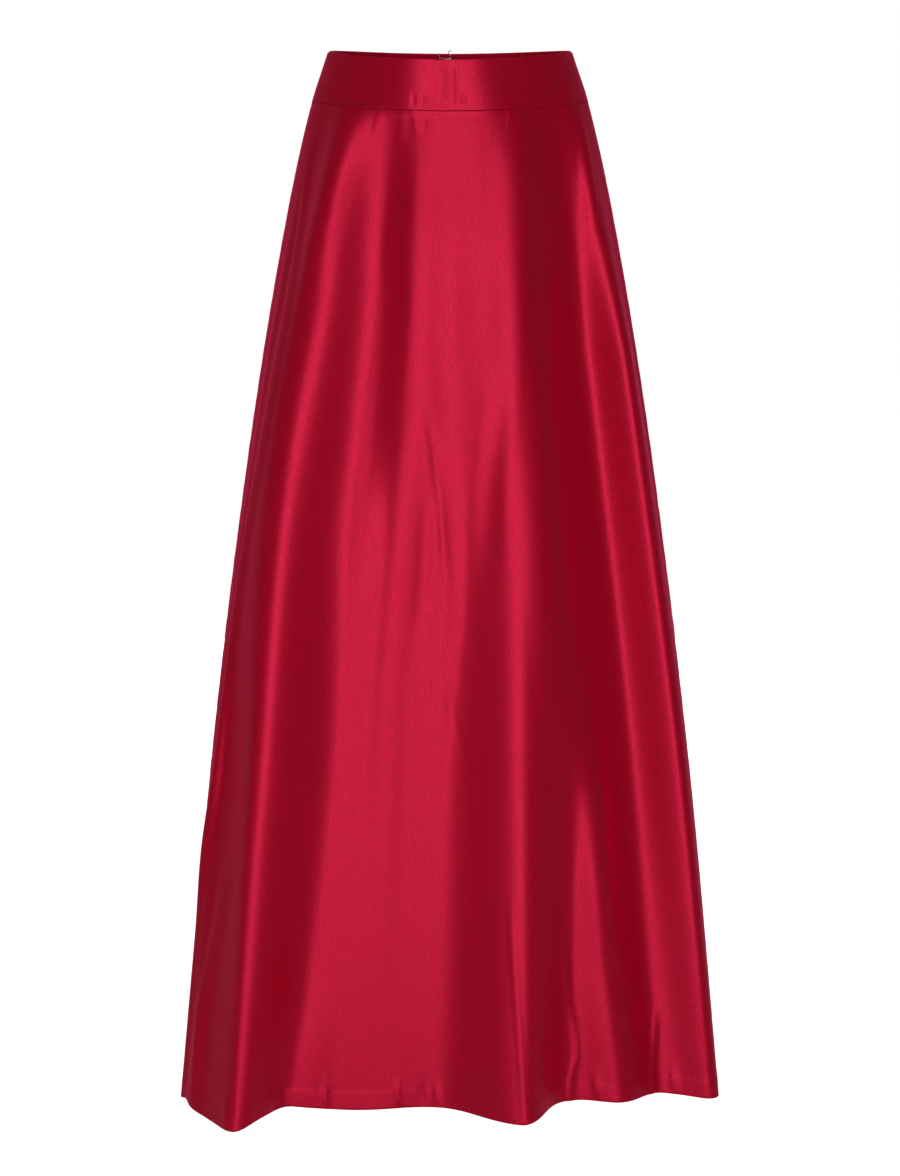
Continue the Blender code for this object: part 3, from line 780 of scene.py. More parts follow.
@dataclass(frozen=True)
class SkirtPanel:
    """A panel of the skirt: turned in at its seams, with its hem turned up inside.

    Attributes:
        name: the piece's name.
        node: the CAD node that it stands for.
        first: angle in degrees of its first side seam.
        last: angle of its other seam.
        columns: columns between the turned edges.
        drape: the worn shape.
        cut: width at the hem and length of the flat panel.
        cut_area: area of the flat panel.
        hangs_from: pieces that it hangs from.
        wall: thickness of the cloth.
        hem_radius: radius of the hem's folded edge.
        hem_turn: height of the hem's turn-up.
        row_step: distance between the rows down the middle of the panel.
        row_end: how far above the turn-up's edge those rows end.
        seam: how its cloth turns in at the seams.
    """

    name: str
    node: str
    first: float
    last: float
    columns: int
    drape: Drape
    cut: tuple[float, float]
    # cut_area: area of the flat panel; not used.
    cut_area: float
    # hangs_from: pieces that it hangs from; not used.
    hangs_from: tuple[str, ...]
    wall: float = 0.0005
    hem_radius: float = 0.0007
    hem_turn: float = 0.020
    row_step: float = 0.0098
    row_end: float = 0.0045
    seam: SeamEdge = SeamEdge()

    def rows(self) -> tuple[Array, Array, Array]:
        """Drop, depth and place down the flat cloth of each row."""
        top = BAND_HEIGHT + SEAM_LINE
        places = [(top + s, depth) for s, depth in self.seam.places()]
        places += [(top + s, 0.0) for s in ROWS_BELOW_WAIST]
        start = places[-1][0]
        line = HEM - self.hem_turn
        end = line - self.row_end
        count = round((end - start) / self.row_step)
        places += [(start + (end - start) * (i + 1) / count, 0.0) for i in range(count)]
        places += [(line + s, 0.0) for s in ROWS_AT_TURN_UP]
        centre = HEM - self.hem_radius
        for turn in range(0, 181, 30):
            angle = math.radians(turn)
            depth = self.hem_radius * (1.0 - math.cos(angle))
            places.append((centre + self.hem_radius * math.sin(angle), depth))
        places += [(HEM - s, 2.0 * self.hem_radius) for s in (*ROWS_INSIDE_HEM, self.hem_turn)]
        drop = np.array([place[0] for place in places])
        depth = np.array([place[1] for place in places])
        run = np.hypot(np.diff(drop), np.diff(depth))
        return drop, depth, np.concatenate([[0.0], np.cumsum(run)])

    def grid(self) -> tuple[Grid, Array]:
        """Grid of the panel, and how far each point lies from the nearer seam."""
        drop, row_depth, down = self.rows()
        fine, run = self.drape.face_lengths(self.first, self.last, drop, steps=1200)
        width = run[:, -1:]
        edge = self.seam.places()
        reach = edge[-1][0]
        share = np.linspace(0.0, 1.0, self.columns + 1)[None, 1:-1]
        start = np.tile([place[0] for place in edge], (len(drop), 1))
        middle = reach + (width - 2.0 * reach) * share
        across = np.concatenate([start, middle, width - start[:, ::-1]], axis=1)
        angle = angles_at(across, fine, run)
        turned = [place[1] for place in edge]
        column_depth = np.array(turned + [0.0] * share.shape[1] + turned[::-1])
        depth = row_depth[:, None] + column_depth[None, :]
        flat = flat_places(across - 0.5 * width, down)
        return Grid(angle, drop, depth, flat), np.minimum(across, width - across)

    def texture(self, grid: Grid, from_seam: Array) -> Array:
        """How far each point stands out: creases, the seams' pull and the hem's turn-up."""
        drop = grid.drop[:, None]
        out = self.drape.relief(grid.angle, grid.drop)
        length = grid.flat[..., 0]
        puckers_begin = ease((drop - 0.09) / 0.05)
        out += SIDE_PUCKERS.at(drop, from_seam) * puckers_begin
        out -= seam_dip(from_seam, depth=0.0007, reach=0.0022)
        below_waist = drop - BAND_HEIGHT
        out += WAIST_GATHERS.at(length, below_waist)
        out -= seam_dip(below_waist, depth=0.0003, reach=0.0022)
        above_hem = HEM - drop
        turned_up = ease((self.hem_turn - above_hem) / 0.0030 + 0.5)
        out += 0.5 * self.wall * turned_up
        out += HEM_WAVES.at(length, above_hem)
        return out

    def build(self, face: bpy.types.Material, reverse: bpy.types.Material) -> bpy.types.Object:
        """Make the panel, dress it and put it on the skirt.

        Args:
            face: finish of the outer face.
            reverse: finish of the cloth's wrong side.

        Returns:
            The finished panel.
        """
        grid, from_seam = self.grid()
        obj = grid.sheet(self.name, self.drape, self.texture(grid, from_seam))
        dress(obj, face, reverse)
        thicken(obj, self.wall, inner=1)
        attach(obj, SKIRT_BODY)
        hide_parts(self.node)
        report(obj)
        return obj

    def stitches(self, spacing: float) -> list[Matrix]:
        """Places of the slanted stitches that hold the hem's turned-up edge.

        Args:
            spacing: distance between the stitches.

        Returns:
            A place for each stitch: X along it and Y towards the inside of the skirt.
        """
        edge = self.grid()[0].angle[-1]
        count = int(self.cut[0] / spacing)
        share = np.linspace(0.02, 0.98, count)
        angle = np.interp(share, np.linspace(0.0, 1.0, len(edge)), edge)
        drop = np.array([HEM - self.hem_turn])
        line = Grid(angle[None, :], drop, np.zeros((1, count)), np.zeros((1, count, 2)))
        out = self.drape.normals(line.angle, drop)[0]
        behind = 2.0 * self.hem_radius + 0.00005
        level = self.drape.relief(line.angle, drop)[0] - behind
        points = self.drape.surface(line.angle, drop)[0] + out * level[:, None]
        places = []
        for i in range(1, count - 1):
            along = points[i + 1] - points[i - 1]
            slant = np.array((0.0, 0.0, 0.9 + 0.2 * math.sin(i * 2.3)))
            places.append(placed(points[i], -out[i], along / np.linalg.norm(along) + slant))
        return places


@dataclass(frozen=True)
class Waistband:
    """A piece of the shaped waistband, faced inside with the same satin in a lighter colour, which is
    painted light on the band's shaded inside.

    Attributes:
        name: the piece's name.
        node: the CAD node that it stands for.
        first: angle in degrees of its first end.
        last: angle of its other end.
        columns: columns along it.
        drape: the worn shape.
        cut: length and height of the flat piece, both rounded up to hold its curve.
        cut_area: area of the flat piece; not used.
        wall: thickness of the band.
        proud: how far it stands out of the skirt below it.
        rounding: radius of its edges.
        side_gap: distance that it keeps from a side seam.
        back_gap: distance that it keeps from the centre back where the zip is closed.
    """

    name: str
    node: str
    first: float
    last: float
    columns: int
    drape: Drape
    cut: tuple[float, float]
    cut_area: float
    wall: float = 0.0022
    proud: float = 0.0002
    rounding: float = 0.0006
    side_gap: float = 0.00005
    back_gap: float = 0.00012

    def grid(self, drop: Array, columns: int) -> Grid:
        """Grid of the band's outer face at the given drops."""
        fine, run = self.drape.face_lengths(self.first, self.last, drop, steps=800)
        width = run[:, -1:]
        start = self.gap(self.first, drop)[:, None]
        end = self.gap(self.last, drop)[:, None]
        share = np.linspace(0.0, 1.0, columns + 1)[None, :]
        across = start + (width - start - end) * share
        angle = angles_at(across, fine, run)
        flat = flat_places(across - 0.5 * width, drop)
        return Grid(angle, drop, np.zeros_like(angle), flat)

    def gap(self, end: float, drop: Array) -> Array:
        """Distance that the band keeps from the seam at one of its ends."""
        if abs(end) < 180.0:
            return np.full_like(drop, self.side_gap)
        return self.back_gap + (0.5 * ZIP.slider_gap - self.back_gap) * ZIP.parted(drop)

    def texture(self, grid: Grid) -> Array:
        """How far each point of the face stands out."""
        drop = grid.drop[:, None]
        length = grid.flat[..., 0]
        out = self.drape.relief(grid.angle, grid.drop) + self.proud
        above_seam = BAND_HEIGHT - drop
        out += BAND_WAVES.at(length, above_seam)
        out -= seam_dip(above_seam, depth=0.0002, reach=0.0018)
        slanted_waves = np.sin(length * 61.0 + drop * 90.0)
        return out + 0.0001 * slanted_waves

    def build(self, face: bpy.types.Material, facing: bpy.types.Material) -> bpy.types.Object:
        """Make the band, dress it and put it on the skirt.

        Args:
            face: finish of the satin.
            facing: finish of the facing inside, the satin painted lighter as painted light.

        Returns:
            The finished band.
        """
        grid = self.grid(np.linspace(0.0, BAND_HEIGHT - SEAM_LINE, 27), self.columns)
        obj = grid.sheet(self.name, self.drape, self.texture(grid))
        dress(obj, face, facing)
        thicken(obj, self.wall, inner=1)
        round_edges(obj, self.rounding, segments=4)
        obj.data.shade_smooth()
        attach(obj, SKIRT_BODY)
        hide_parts(self.node)
        report(obj)
        return obj

    def stitches(self, drop: float, spacing: float) -> list[Matrix]:
        """Places of a row of stitches on the facing.

        Args:
            drop: how far below the top the row runs.
            spacing: distance between the stitches.

        Returns:
            A place for each stitch: X along the row and Y out of the facing.
        """
        count = int(self.cut[0] / spacing)
        line = self.grid(np.array([drop]), count)
        out = self.drape.normals(line.angle, line.drop)[0]
        level = (self.texture(line)[0] - self.wall)[:, None]
        points = self.drape.surface(line.angle, line.drop)[0] + out * level
        return [placed(points[i], -out[i], points[i + 1] - points[i - 1]) for i in range(1, count)]


@dataclass(frozen=True)
class ZipPlace:
    """Where the concealed zip lies at the centre back.

    Attributes:
        slider_drop: drop of the slider's middle.
        slider_gap: width of the gap that the slider's neck passes.
        slider_span: how far above and below the slider the gap closes.
        seam_gap: width of the closed gap.
    """

    slider_drop: float = 0.0185
    slider_gap: float = 0.0022
    slider_span: float = 0.0110
    seam_gap: float = 0.0005

    def parted(self, drop: Array) -> Array:
        """How far the slider parts the two backs at each drop, from 0 to 1."""
        near = np.minimum(np.abs(drop - self.slider_drop) / self.slider_span, 1.0)
        return np.clip((0.5 + 0.5 * np.cos(np.pi * near)) * 1.4, 0.0, 1.0)

    def half_gap(self, drop: Array) -> Array:
        """Half the gap between the two backs at each drop."""
        return 0.5 * (self.seam_gap + (self.slider_gap - self.seam_gap) * self.parted(drop))


ZIP = ZipPlace()


@dataclass(frozen=True)
class Inside:
    """Places on the inner side of the cloth at the centre back, where the zip lies.

    Attributes:
        drape: the worn shape.
        band_wall: thickness of the waistband.
        panel_wall: thickness of the skirt with its seam allowance.
        gap: distance between the cloth and the tape.
    """

    drape: Drape
    band_wall: float = 0.0024
    panel_wall: float = 0.0014
    gap: float = 0.0005

    def tape_depth(self, drop: Array) -> Array:
        """How far the tape's face lies behind the outer cloth at each drop."""
        share = np.clip((drop - BAND_HEIGHT + 0.001) / 0.006, 0.0, 1.0)
        return self.gap + self.band_wall + (self.panel_wall - self.band_wall) * share

    def angles(self, across: Array, drop: Array) -> Array:
        """Angles of points at a distance from the centre back, rows by columns."""
        half = self.drape.measures(drop)[0]
        return np.copysign(math.pi, across) - across / half

    def places(self, across: float, drop: Array, behind: float) -> list[Matrix]:
        """Places behind the tape's face.

        Args:
            across: distance from the centre back, towards +X.
            drop: distance of each place below the top.
            behind: distance from the tape's face, towards the inside of the skirt.

        Returns:
            The places: X as the skirt's, Y towards its inside and Z down the cloth.
        """
        angle = self.angles(np.full((len(drop), 1), across), drop)
        out = self.drape.normals(angle, drop)[:, 0]
        depth = self.tape_depth(drop) + behind
        points = self.drape.surface(angle, drop)[:, 0] - out * depth[:, None]
        return [placed(point, -way, np.array((1.0, 0.0, 0.0))) for point, way in zip(points, out)]


@dataclass(frozen=True)
class ZipTape:
    """Woven tape of the zip, sewn behind one back edge.

    Attributes:
        name: the piece's name.
        node: the CAD node that it stands for.
        side: which side of the skirt it is on.
        inside: places at the centre back.
        top: drop of its upper end.
        end: drop of its lower end.
        width: width of the tape.
        wall: its thickness.
        shape: its rows and columns.
        beside_gap: how far beside the gap between the backs its edge lies.
        ripple: height of its ripples.
    """

    name: str
    node: str
    side: Side
    inside: Inside
    top: float = 0.0120
    end: float = 0.235
    width: float = 0.0120
    wall: float = 0.0006
    shape: tuple[int, int] = (112, 13)
    beside_gap: float = 0.0002
    ripple: float = 0.00012

    def build(self, finish: bpy.types.Material, hangs_from: Sequence[str]) -> bpy.types.Object:
        """Make the tape.

        Args:
            finish: its woven finish.
            hangs_from: the pieces that it is sewn to; not used.

        Returns:
            The finished tape.
        """
        rows, columns = self.shape
        drop = np.linspace(self.top, self.end, rows)
        edge = ZIP.half_gap(drop)[:, None] + self.beside_gap
        share = np.linspace(0.0, 1.0, columns)[None, :]
        if self.side is Side.LEFT:
            share = share[:, ::-1]
        across = (edge + (self.width - edge) * share) * self.side.value
        angle = self.inside.angles(across, drop)
        depth = np.tile(self.inside.tape_depth(drop)[:, None], (1, columns))
        depth += self.ripple * (0.5 + 0.5 * np.sin(drop * 420.0))[:, None] * share
        grid = Grid(angle, drop, depth, flat_places(across, drop))
        obj = grid.sheet(self.name, self.inside.drape, np.zeros_like(angle))
        dress(obj, finish)
        thicken(obj, self.wall)
        round_edges(obj, radius=0.0002, segments=2)
        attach(obj, SKIRT_BODY)
        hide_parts(self.node)
        report(obj)
        return obj


@dataclass(frozen=True)
class ZipCoil:
    """Coil of the concealed zip: rows of nylon turns that lock along the centre back.

    Attributes:
        inside: places at the centre back.
        first: drop of the first turn below the slider.
        last: drop of the last turn above the stop.
        pitch: distance from turn to turn.
        wire: radius of the nylon.
        half_loop: half the height of a turn behind the tape.
        stretch: how far a turn is drawn out sideways.
        tape_wall: thickness of the tape that it is sewn to.
        from_middle: how far its turns lie from the centre back.
    """

    inside: Inside
    first: float = 0.0245
    last: float = 0.2280
    pitch: float = 0.0012
    wire: float = 0.00028
    half_loop: float = 0.00052
    stretch: float = 0.0013
    tape_wall: float = 0.0006
    from_middle: float = 0.00012

    def build(self, name: str, side: Side, finish: bpy.types.Material) -> bpy.types.Object:
        """Make one row of turns.

        Args:
            name: the piece's name.
            side: which tape it is sewn to.
            finish: the nylon's finish.

        Returns:
            The finished row.
        """
        obj = drawn_ring(name, self.half_loop, self.wire, shift=(self.stretch, 0.0, 0.0002))
        if side is Side.RIGHT:
            choose(obj)
            bpy.ops.object.mode_set(mode="EDIT")
            bpy.ops.mesh.select_all(action="SELECT")
            bpy.ops.transform.translate(value=(-self.stretch, 0.0, 0.0))
            bpy.ops.object.mode_set(mode="OBJECT")
        start = self.first if side is Side.LEFT else self.first + 0.5 * self.pitch
        behind = self.tape_wall + self.half_loop + self.wire
        drops = np.arange(start, self.last, self.pitch)
        repeat(obj, self.inside.places(self.from_middle * side.value, drops, behind))
        obj.data.materials.append(finish)
        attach(obj, SKIRT_BODY)
        report(obj)
        return obj


def arc(centre: tuple[float, float], radius: float, first: float, last: float,
        steps: int) -> list[tuple[float, float]]:
    """Points of an arc in a plane.

    Args:
        centre: its middle.
        radius: its radius.
        first: its first angle in degrees.
        last: its last angle.
        steps: how many pieces it is cut into.

    Returns:
        The points in turn.
    """
    turns = np.radians(np.linspace(first, last, steps + 1))
    return [(centre[0] + radius * math.cos(t), centre[1] + radius * math.sin(t)) for t in turns]


@dataclass(frozen=True)
class Fastening:
    """Bent-wire hook and eye, whipped to the facing at the top of the centre back.

    Attributes:
        drape: the worn shape.
        drop: drop of the fastening's middle.
        wire: radius of the wire.
        face: how far the facing lies behind the outer cloth.
        hook_centre: distance of the hook's rings from the centre back.
        eye_centre: distance of the eye's rings.
        clear: gap between the wire and the facing.
        hook_ring: height of the hook's ring above its middle, and its radius.
        eye_ring: distance of the eye's ring beyond its loop, height above its middle, and radius.
        sewn_gap: how far the whipping thread lies off the facing.
    """

    drape: Drape
    drop: float = 0.0052
    wire: float = 0.0004
    face: float = 0.0024
    hook_centre: float = 0.0022
    eye_centre: float = -0.0093
    clear: float = 0.0003
    hook_ring: tuple[float, float] = (0.00195, 0.00135)
    eye_ring: tuple[float, float, float] = (0.0018, 0.0028, 0.0011)
    sewn_gap: float = 0.0002

    def frame(self) -> Matrix:
        """Place on the outer face: Y out of the cloth and Z up it."""
        row = np.array([self.drop])
        middle = np.array([[math.pi]])
        point = self.drape.surface(middle, row)[0, 0]
        out = self.drape.normals(middle, row)[0, 0]
        lean = math.atan2(out[2], out[1])
        return Matrix.Translation(Vector(point)) @ Matrix.Rotation(lean, 4, "X")

    def behind(self, x: float, away: float) -> float:
        """Y of a point across the back that lies so far away from the facing."""
        half, _, back, _ = self.drape.measures(np.array([self.drop]))
        curving = x * x / (2.0 * half.item() * half.item() / back.item())
        return -self.face - curving - self.clear - self.wire - away

    def hook_path(self) -> list[Point]:
        """Across, up and away of the hook's wire: ring, shank, bill, and the same back again."""
        height, radius = self.hook_ring
        upper = [(x, z, 0.0) for x, z in arc((self.hook_centre, height), radius, 190.0, -90.0, 14)]
        upper += [(x, 0.0006, w) for x, w in arc((-0.0056, 0.0011), 0.0011, -90.0, -270.0, 8)]
        lower = [(x, -z, w) for x, z, w in reversed(upper)]
        return upper + [(x, z, 0.0022) for x, z in arc((-0.0030, 0.0), 0.0006, 90.0, -90.0, 6)] + lower

    def eye_path(self) -> list[Point]:
        """Across, up and away of the eye's wire: ring, loop and the other ring."""
        beyond, height, radius = self.eye_ring
        ring = arc((self.eye_centre - beyond, height), radius, -10.0, 270.0, 14)
        upper = [(x, z, 0.0) for x, z in ring]
        upper += [(self.eye_centre - 0.0004, 0.0017, 0.0002), (self.eye_centre + 0.0010, 0.0017, 0.0009)]
        lower = [(x, -z, w) for x, z, w in reversed(upper)]
        return upper + [(x, z, 0.0011) for x, z in arc((-0.0072, 0.0), 0.0017, 90.0, -90.0, 10)] + lower

    def bent(self, name: str, path: Sequence[Point], finish: bpy.types.Material) -> bpy.types.Object:
        """Bend a wire along a path inside the waistband.

        Args:
            name: the piece's name and the CAD node that it stands for, without its ending.
            path: the points of the wire's middle, across, up and away.
            finish: the wire's finish.

        Returns:
            The finished wire.
        """
        curve = round_curve(name, self.wire, resolution=4)
        curve.resolution_u = 4
        spline = curve.splines.new("NURBS")
        spline.points.add(len(path) - 1)
        for point, (x, z, away) in zip(spline.points, path):
            point.co = (x, self.behind(x, away), z, 1.0)
        spline.order_u = 3
        spline.use_endpoint_u = True
        obj = wire_piece(f"{name}_wire", curve, self.frame())
        obj.data.materials.append(finish)
        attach(obj, SKIRT_BODY)
        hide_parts(name)
        report(obj)
        return obj

    def whipping(self, name: str, finish: bpy.types.Material) -> bpy.types.Object:
        """Thread whipped over the rings and shanks.

        Args:
            name: the piece's name.
            finish: the thread's finish.

        Returns:
            The finished thread.
        """
        obj = drawn_ring(name, radius=0.00062, wire=0.00024, shift=(0.0005, 0.0, 0.0))
        height, radius = self.hook_ring
        beyond, eye_height, eye_radius = self.eye_ring
        eye_x = self.eye_centre - beyond
        rings = []
        for centre, size, first, last in (
            ((self.hook_centre, height), radius, 160.0, -80.0),
            ((self.hook_centre, -height), radius, 80.0, -160.0),
            ((eye_x, eye_height), eye_radius, 20.0, 260.0),
            ((eye_x, -eye_height), eye_radius, 100.0, 340.0),
        ):
            turns = np.radians(np.linspace(first, last, 9))
            for i, (x, z) in enumerate(arc(centre, size, first, last, 8)):
                lean = Matrix.Rotation(-turns[i] + 0.25 * math.sin(3.7 * i), 4, "Y")
                rings.append(Matrix.Translation((x, self.behind(x, self.sewn_gap), z)) @ lean)
        for i in range(4):
            x = -0.0012 - 0.0007 * i
            lean = Matrix.Rotation(math.radians(90.0 + 6.0 * math.sin(2.1 * i)), 4, "Y")
            rings.append(Matrix.Translation((x, self.behind(x, self.sewn_gap), -0.0004)) @ lean)
        home = self.frame()
        repeat(obj, [home @ ring for ring in rings])
        obj.data.materials.append(finish)
        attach(obj, SKIRT_BODY)
        report(obj)
        return obj

    def thread_end(self, name: str, finish: bpy.types.Material) -> bpy.types.Object:
        """Loose end of the thread, curled up over the edge.

        Args:
            name: the piece's name.
            finish: the thread's finish.

        Returns:
            The finished thread end.
        """
        curve = round_curve(name, radius=0.00036, resolution=2)
        spline = curve.splines.new("BEZIER")
        path = ((0.0014, 0.0010, 0.0004), (0.0002, 0.0036, 0.0007), (-0.0014, 0.0068, 0.0003),
                (-0.0005, 0.0094, -0.0004), (0.0012, 0.0080, -0.0006))
        spline.bezier_points.add(len(path) - 1)
        for point, (x, z, away) in zip(spline.bezier_points, path):
            point.co = (x, self.behind(x, away), z)
            point.handle_left_type = "AUTO"
            point.handle_right_type = "AUTO"
        obj = wire_piece(name, curve, self.frame())
        obj.data.materials.append(finish)
        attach(obj, SKIRT_BODY)
        report(obj)
        return obj


@dataclass(frozen=True)
class Stitching:
    """Rows of stitches with one kind of thread.

    Attributes:
        length: length of a stitch.
        thread: radius of the thread.
        sink: how far its ends go into the cloth.
        straight: share of each half that stays straight.
    """

    length: float = 0.0021
    thread: float = 0.00017
    sink: float = 0.00022
    straight: float = 0.8

    def build(self, name: str, places: Sequence[Matrix], finish: bpy.types.Material) -> bpy.types.Object:
        """Make all the stitches of a row.

        Args:
            name: the piece's name.
            places: a place for each stitch: X along it and Y out of the cloth.
            finish: the thread's finish.

        Returns:
            The finished row.
        """
        deselect()
        bpy.ops.mesh.primitive_uv_sphere_add(segments=6, ring_count=5, radius=self.thread)
        obj = bpy.context.object
        obj.name = name
        obj.data.name = name
        obj.data.transform(Matrix.Rotation(math.radians(90.0), 4, "Y"))
        reach = 0.5 * self.length - self.thread
        straight = self.straight * reach
        tip = straight + 0.5 * self.thread
        for side in (1.0, -1.0):
            pick_points(obj, lambda place, way=side: place.x * way > 0.1 * self.thread)
            bpy.ops.transform.translate(value=(side * straight, 0.0, 0.0))
            bpy.ops.object.mode_set(mode="OBJECT")
            pick_points(obj, lambda place, way=side, far=tip: place.x * way > far)
            bpy.ops.transform.translate(value=(side * (reach - straight), -self.sink, 0.0))
            bpy.ops.object.mode_set(mode="OBJECT")
        repeat(obj, places)
        obj.data.materials.append(finish)
        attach(obj, SKIRT_BODY)
        report(obj)
        return obj


@dataclass(frozen=True)
class NodeSheet:
    """Small helper that lays out and joins shader nodes in one tree.

    Attributes:
        tree: the node tree that it fills.
    """

    tree: bpy.types.NodeTree

    def add(self, kind: str, **values: object) -> bpy.types.Node:
        """Add a node of a kind and set its properties."""
        node = self.tree.nodes.new(kind)
        for name, value in values.items():
            setattr(node, name, value)
        return node

    def join(self, source: bpy.types.NodeSocket, target: bpy.types.NodeSocket) -> None:
        """Link one socket to another."""
        self.tree.links.new(source, target)

    def mix(self, mask: bpy.types.NodeSocket, first: Colour, second: Colour) -> bpy.types.NodeSocket:
        """Colour between two, by a mask."""
        node = self.add("ShaderNodeMix", data_type="RGBA")
        self.join(mask, node.inputs["Factor"])
        node.inputs["A"].default_value = (*first, 1.0)
        node.inputs["B"].default_value = (*second, 1.0)
        return node.outputs["Result"]

    def ramp(self, value: bpy.types.NodeSocket, low: float, high: float) -> bpy.types.NodeSocket:
        """Value from 0 to 1 brought between two limits."""
        node = self.add("ShaderNodeMapRange")
        self.join(value, node.inputs["Value"])
        node.inputs["To Min"].default_value = low
        node.inputs["To Max"].default_value = high
        return node.outputs["Result"]

    def clearer(self, value: bpy.types.NodeSocket, low: float, high: float) -> bpy.types.Node:
        """Map range that stretches what lies between two limits to 0 and 1."""
        node = self.add("ShaderNodeMapRange")
        node.inputs["From Min"].default_value = low
        node.inputs["From Max"].default_value = high
        self.join(value, node.inputs["Value"])
        return node

    def noise(self, place: bpy.types.NodeSocket, **values: float) -> bpy.types.NodeSocket:
        """Noise over a place, with values for its own inputs."""
        node = self.add("ShaderNodeTexNoise")
        for name, value in values.items():
            node.inputs[name].default_value = value
        self.join(place, node.inputs["Vector"])
        return node.outputs["Fac"]

    def bump(self, height: bpy.types.NodeSocket, size: float, shader: bpy.types.Node) -> None:
        """Raise a shader's surface by a height from 0 to 1 of a size in metres."""
        node = self.add("ShaderNodeBump")
        node.inputs["Distance"].default_value = size
        self.join(height, node.inputs["Height"])
        self.join(node.outputs["Normal"], shader.inputs["Normal"])


Shader = tuple[bpy.types.Material, NodeSheet, bpy.types.Node]
Group = tuple[bpy.types.NodeTree, NodeSheet, bpy.types.Node, bpy.types.Node]


def new_material(name: str, colour: Colour) -> Shader:
    """Material with its nodes and its shader.

    Args:
        name: the material's name.
        colour: its colour in a plain view.

    Returns:
        The material, its nodes and its shader.
    """
    material = bpy.data.materials.new(name)
    material.use_nodes = True
    material.diffuse_color = (*colour, 1.0)
    return material, NodeSheet(material.node_tree), material.node_tree.nodes["Principled BSDF"]


def new_group(name: str, amounts: dict[str, float], results: Sequence[str]) -> Group:
    """Node group whose first input is a place.

    Args:
        name: the group's name.
        amounts: its other inputs and their usual values.
        results: its outputs.

    Returns:
        The group, its nodes, and the nodes where its inputs and its outputs are.
    """
    group = bpy.data.node_groups.new(name, "ShaderNodeTree")
    group.interface.new_socket("Place", in_out="INPUT", socket_type="NodeSocketVector")
    for title, usual in amounts.items():
        amount = group.interface.new_socket(title, in_out="INPUT", socket_type="NodeSocketFloat")
        amount.default_value = usual
    for title in results:
        group.interface.new_socket(title, in_out="OUTPUT", socket_type="NodeSocketFloat")
    sheet = NodeSheet(group)
    return group, sheet, sheet.add("NodeGroupInput"), sheet.add("NodeGroupOutput")


def thread_grain() -> bpy.types.NodeTree:
    """Node group for the fine streaks and slubs that threads leave in a woven cloth.

    Returns:
        The group: places on the cloth in metres go in, a streak mask and a height come out.
    """
    group, sheet, start, end = new_group(
        "thread grain", {"Across": 900.0, "Along": 60.0}, ("Streaks", "Height"))
    sizes = sheet.add("ShaderNodeCombineXYZ")
    sheet.join(start.outputs["Across"], sizes.inputs["X"])
    sheet.join(start.outputs["Along"], sizes.inputs["Y"])
    sizes.inputs["Z"].default_value = 1.0
    place = sheet.add("ShaderNodeVectorMath", operation="MULTIPLY")
    sheet.join(start.outputs["Place"], place.inputs[0])
    sheet.join(sizes.outputs["Vector"], place.inputs[1])
    streaks = sheet.noise(place.outputs["Vector"], Scale=1.0, Detail=3.0, Roughness=0.6)
    slubs = sheet.noise(start.outputs["Place"], Scale=480.0, Detail=2.0)
    both = sheet.add("ShaderNodeMix", data_type="FLOAT")
    both.inputs["Factor"].default_value = 0.55
    sheet.join(streaks, both.inputs["A"])
    sheet.join(slubs, both.inputs["B"])
    clear = sheet.clearer(both.outputs["Result"], low=0.36, high=0.64)
    sheet.join(clear.outputs["Result"], end.inputs["Streaks"])
    sheet.join(both.outputs["Result"], end.inputs["Height"])
    return group


@dataclass(frozen=True)
class Satin:
    """Satin finish.

    Attributes:
        name: the material's name.
        colour: colour of its lighter threads.
        shade: colour of its darker threads.
        metallic: how much of its gloss has its own colour.
        roughness: its roughness.
        spread: how far the roughness changes over the cloth.
        gloss_tint: tint of its white gloss.
        gloss_level: strength of its white gloss.
        bump: height of its threads in metres.
        sheen: strength of its sheen.
        sheen_roughness: roughness of its sheen.
        sheen_tint: colour of its sheen.
    """

    name: str
    colour: Colour
    shade: Colour
    metallic: float
    roughness: float
    spread: float
    gloss_tint: Colour
    gloss_level: float
    bump: float
    sheen: float = 0.0
    sheen_roughness: float = 0.45
    sheen_tint: Colour = (1.0, 0.0, 0.10)

    def build(self, grain: bpy.types.NodeTree) -> bpy.types.Material:
        """Make the material.

        Args:
            grain: the thread grain group.

        Returns:
            The material.
        """
        material, sheet, shader = new_material(self.name, self.colour)
        cloth = sheet.add("ShaderNodeUVMap", uv_map=CLOTH_MAP)
        threads = sheet.add("ShaderNodeGroup", node_tree=grain)
        sheet.join(cloth.outputs["UV"], threads.inputs["Place"])
        streaks = threads.outputs["Streaks"]
        sheet.join(sheet.mix(streaks, self.shade, self.colour), shader.inputs["Base Color"])
        low, high = self.roughness - self.spread, self.roughness + self.spread
        sheet.join(sheet.ramp(streaks, high, low), shader.inputs["Roughness"])
        sheet.bump(threads.outputs["Height"], self.bump, shader)
        shader.inputs["Metallic"].default_value = self.metallic
        shader.inputs["Specular IOR Level"].default_value = self.gloss_level
        shader.inputs["Specular Tint"].default_value = (*self.gloss_tint, 1.0)
        shader.inputs["Sheen Weight"].default_value = self.sheen
        shader.inputs["Sheen Roughness"].default_value = self.sheen_roughness
        shader.inputs["Sheen Tint"].default_value = (*self.sheen_tint, 1.0)
        return material


RED_SATIN = Satin("red satin", (0.62, 0.0003, 0.022), (0.46, 0.0001, 0.014), 0.38, 0.38, 0.04,
                  (1.0, 0.22, 0.50), 0.90, 0.00012, 0.80)
# The facing is the same satin with a lighter colour and less metal: painted light on the shaded inside of
# the band.
FACING_SATIN_PAINTED_LIGHTER = Satin("facing satin painted lighter", (0.95, 0.003, 0.045), (0.78, 0.001, 0.030), 0.10, 0.42, 0.04,
                     (1.0, 0.22, 0.50), 0.90, 0.00012, 0.30)
SATIN_REVERSE = Satin("satin wrong side", (0.34, 0.003, 0.016), (0.22, 0.002, 0.010), 0.15, 0.62, 0.05,
                      (1.0, 0.5, 0.8), 0.5, 0.00006)


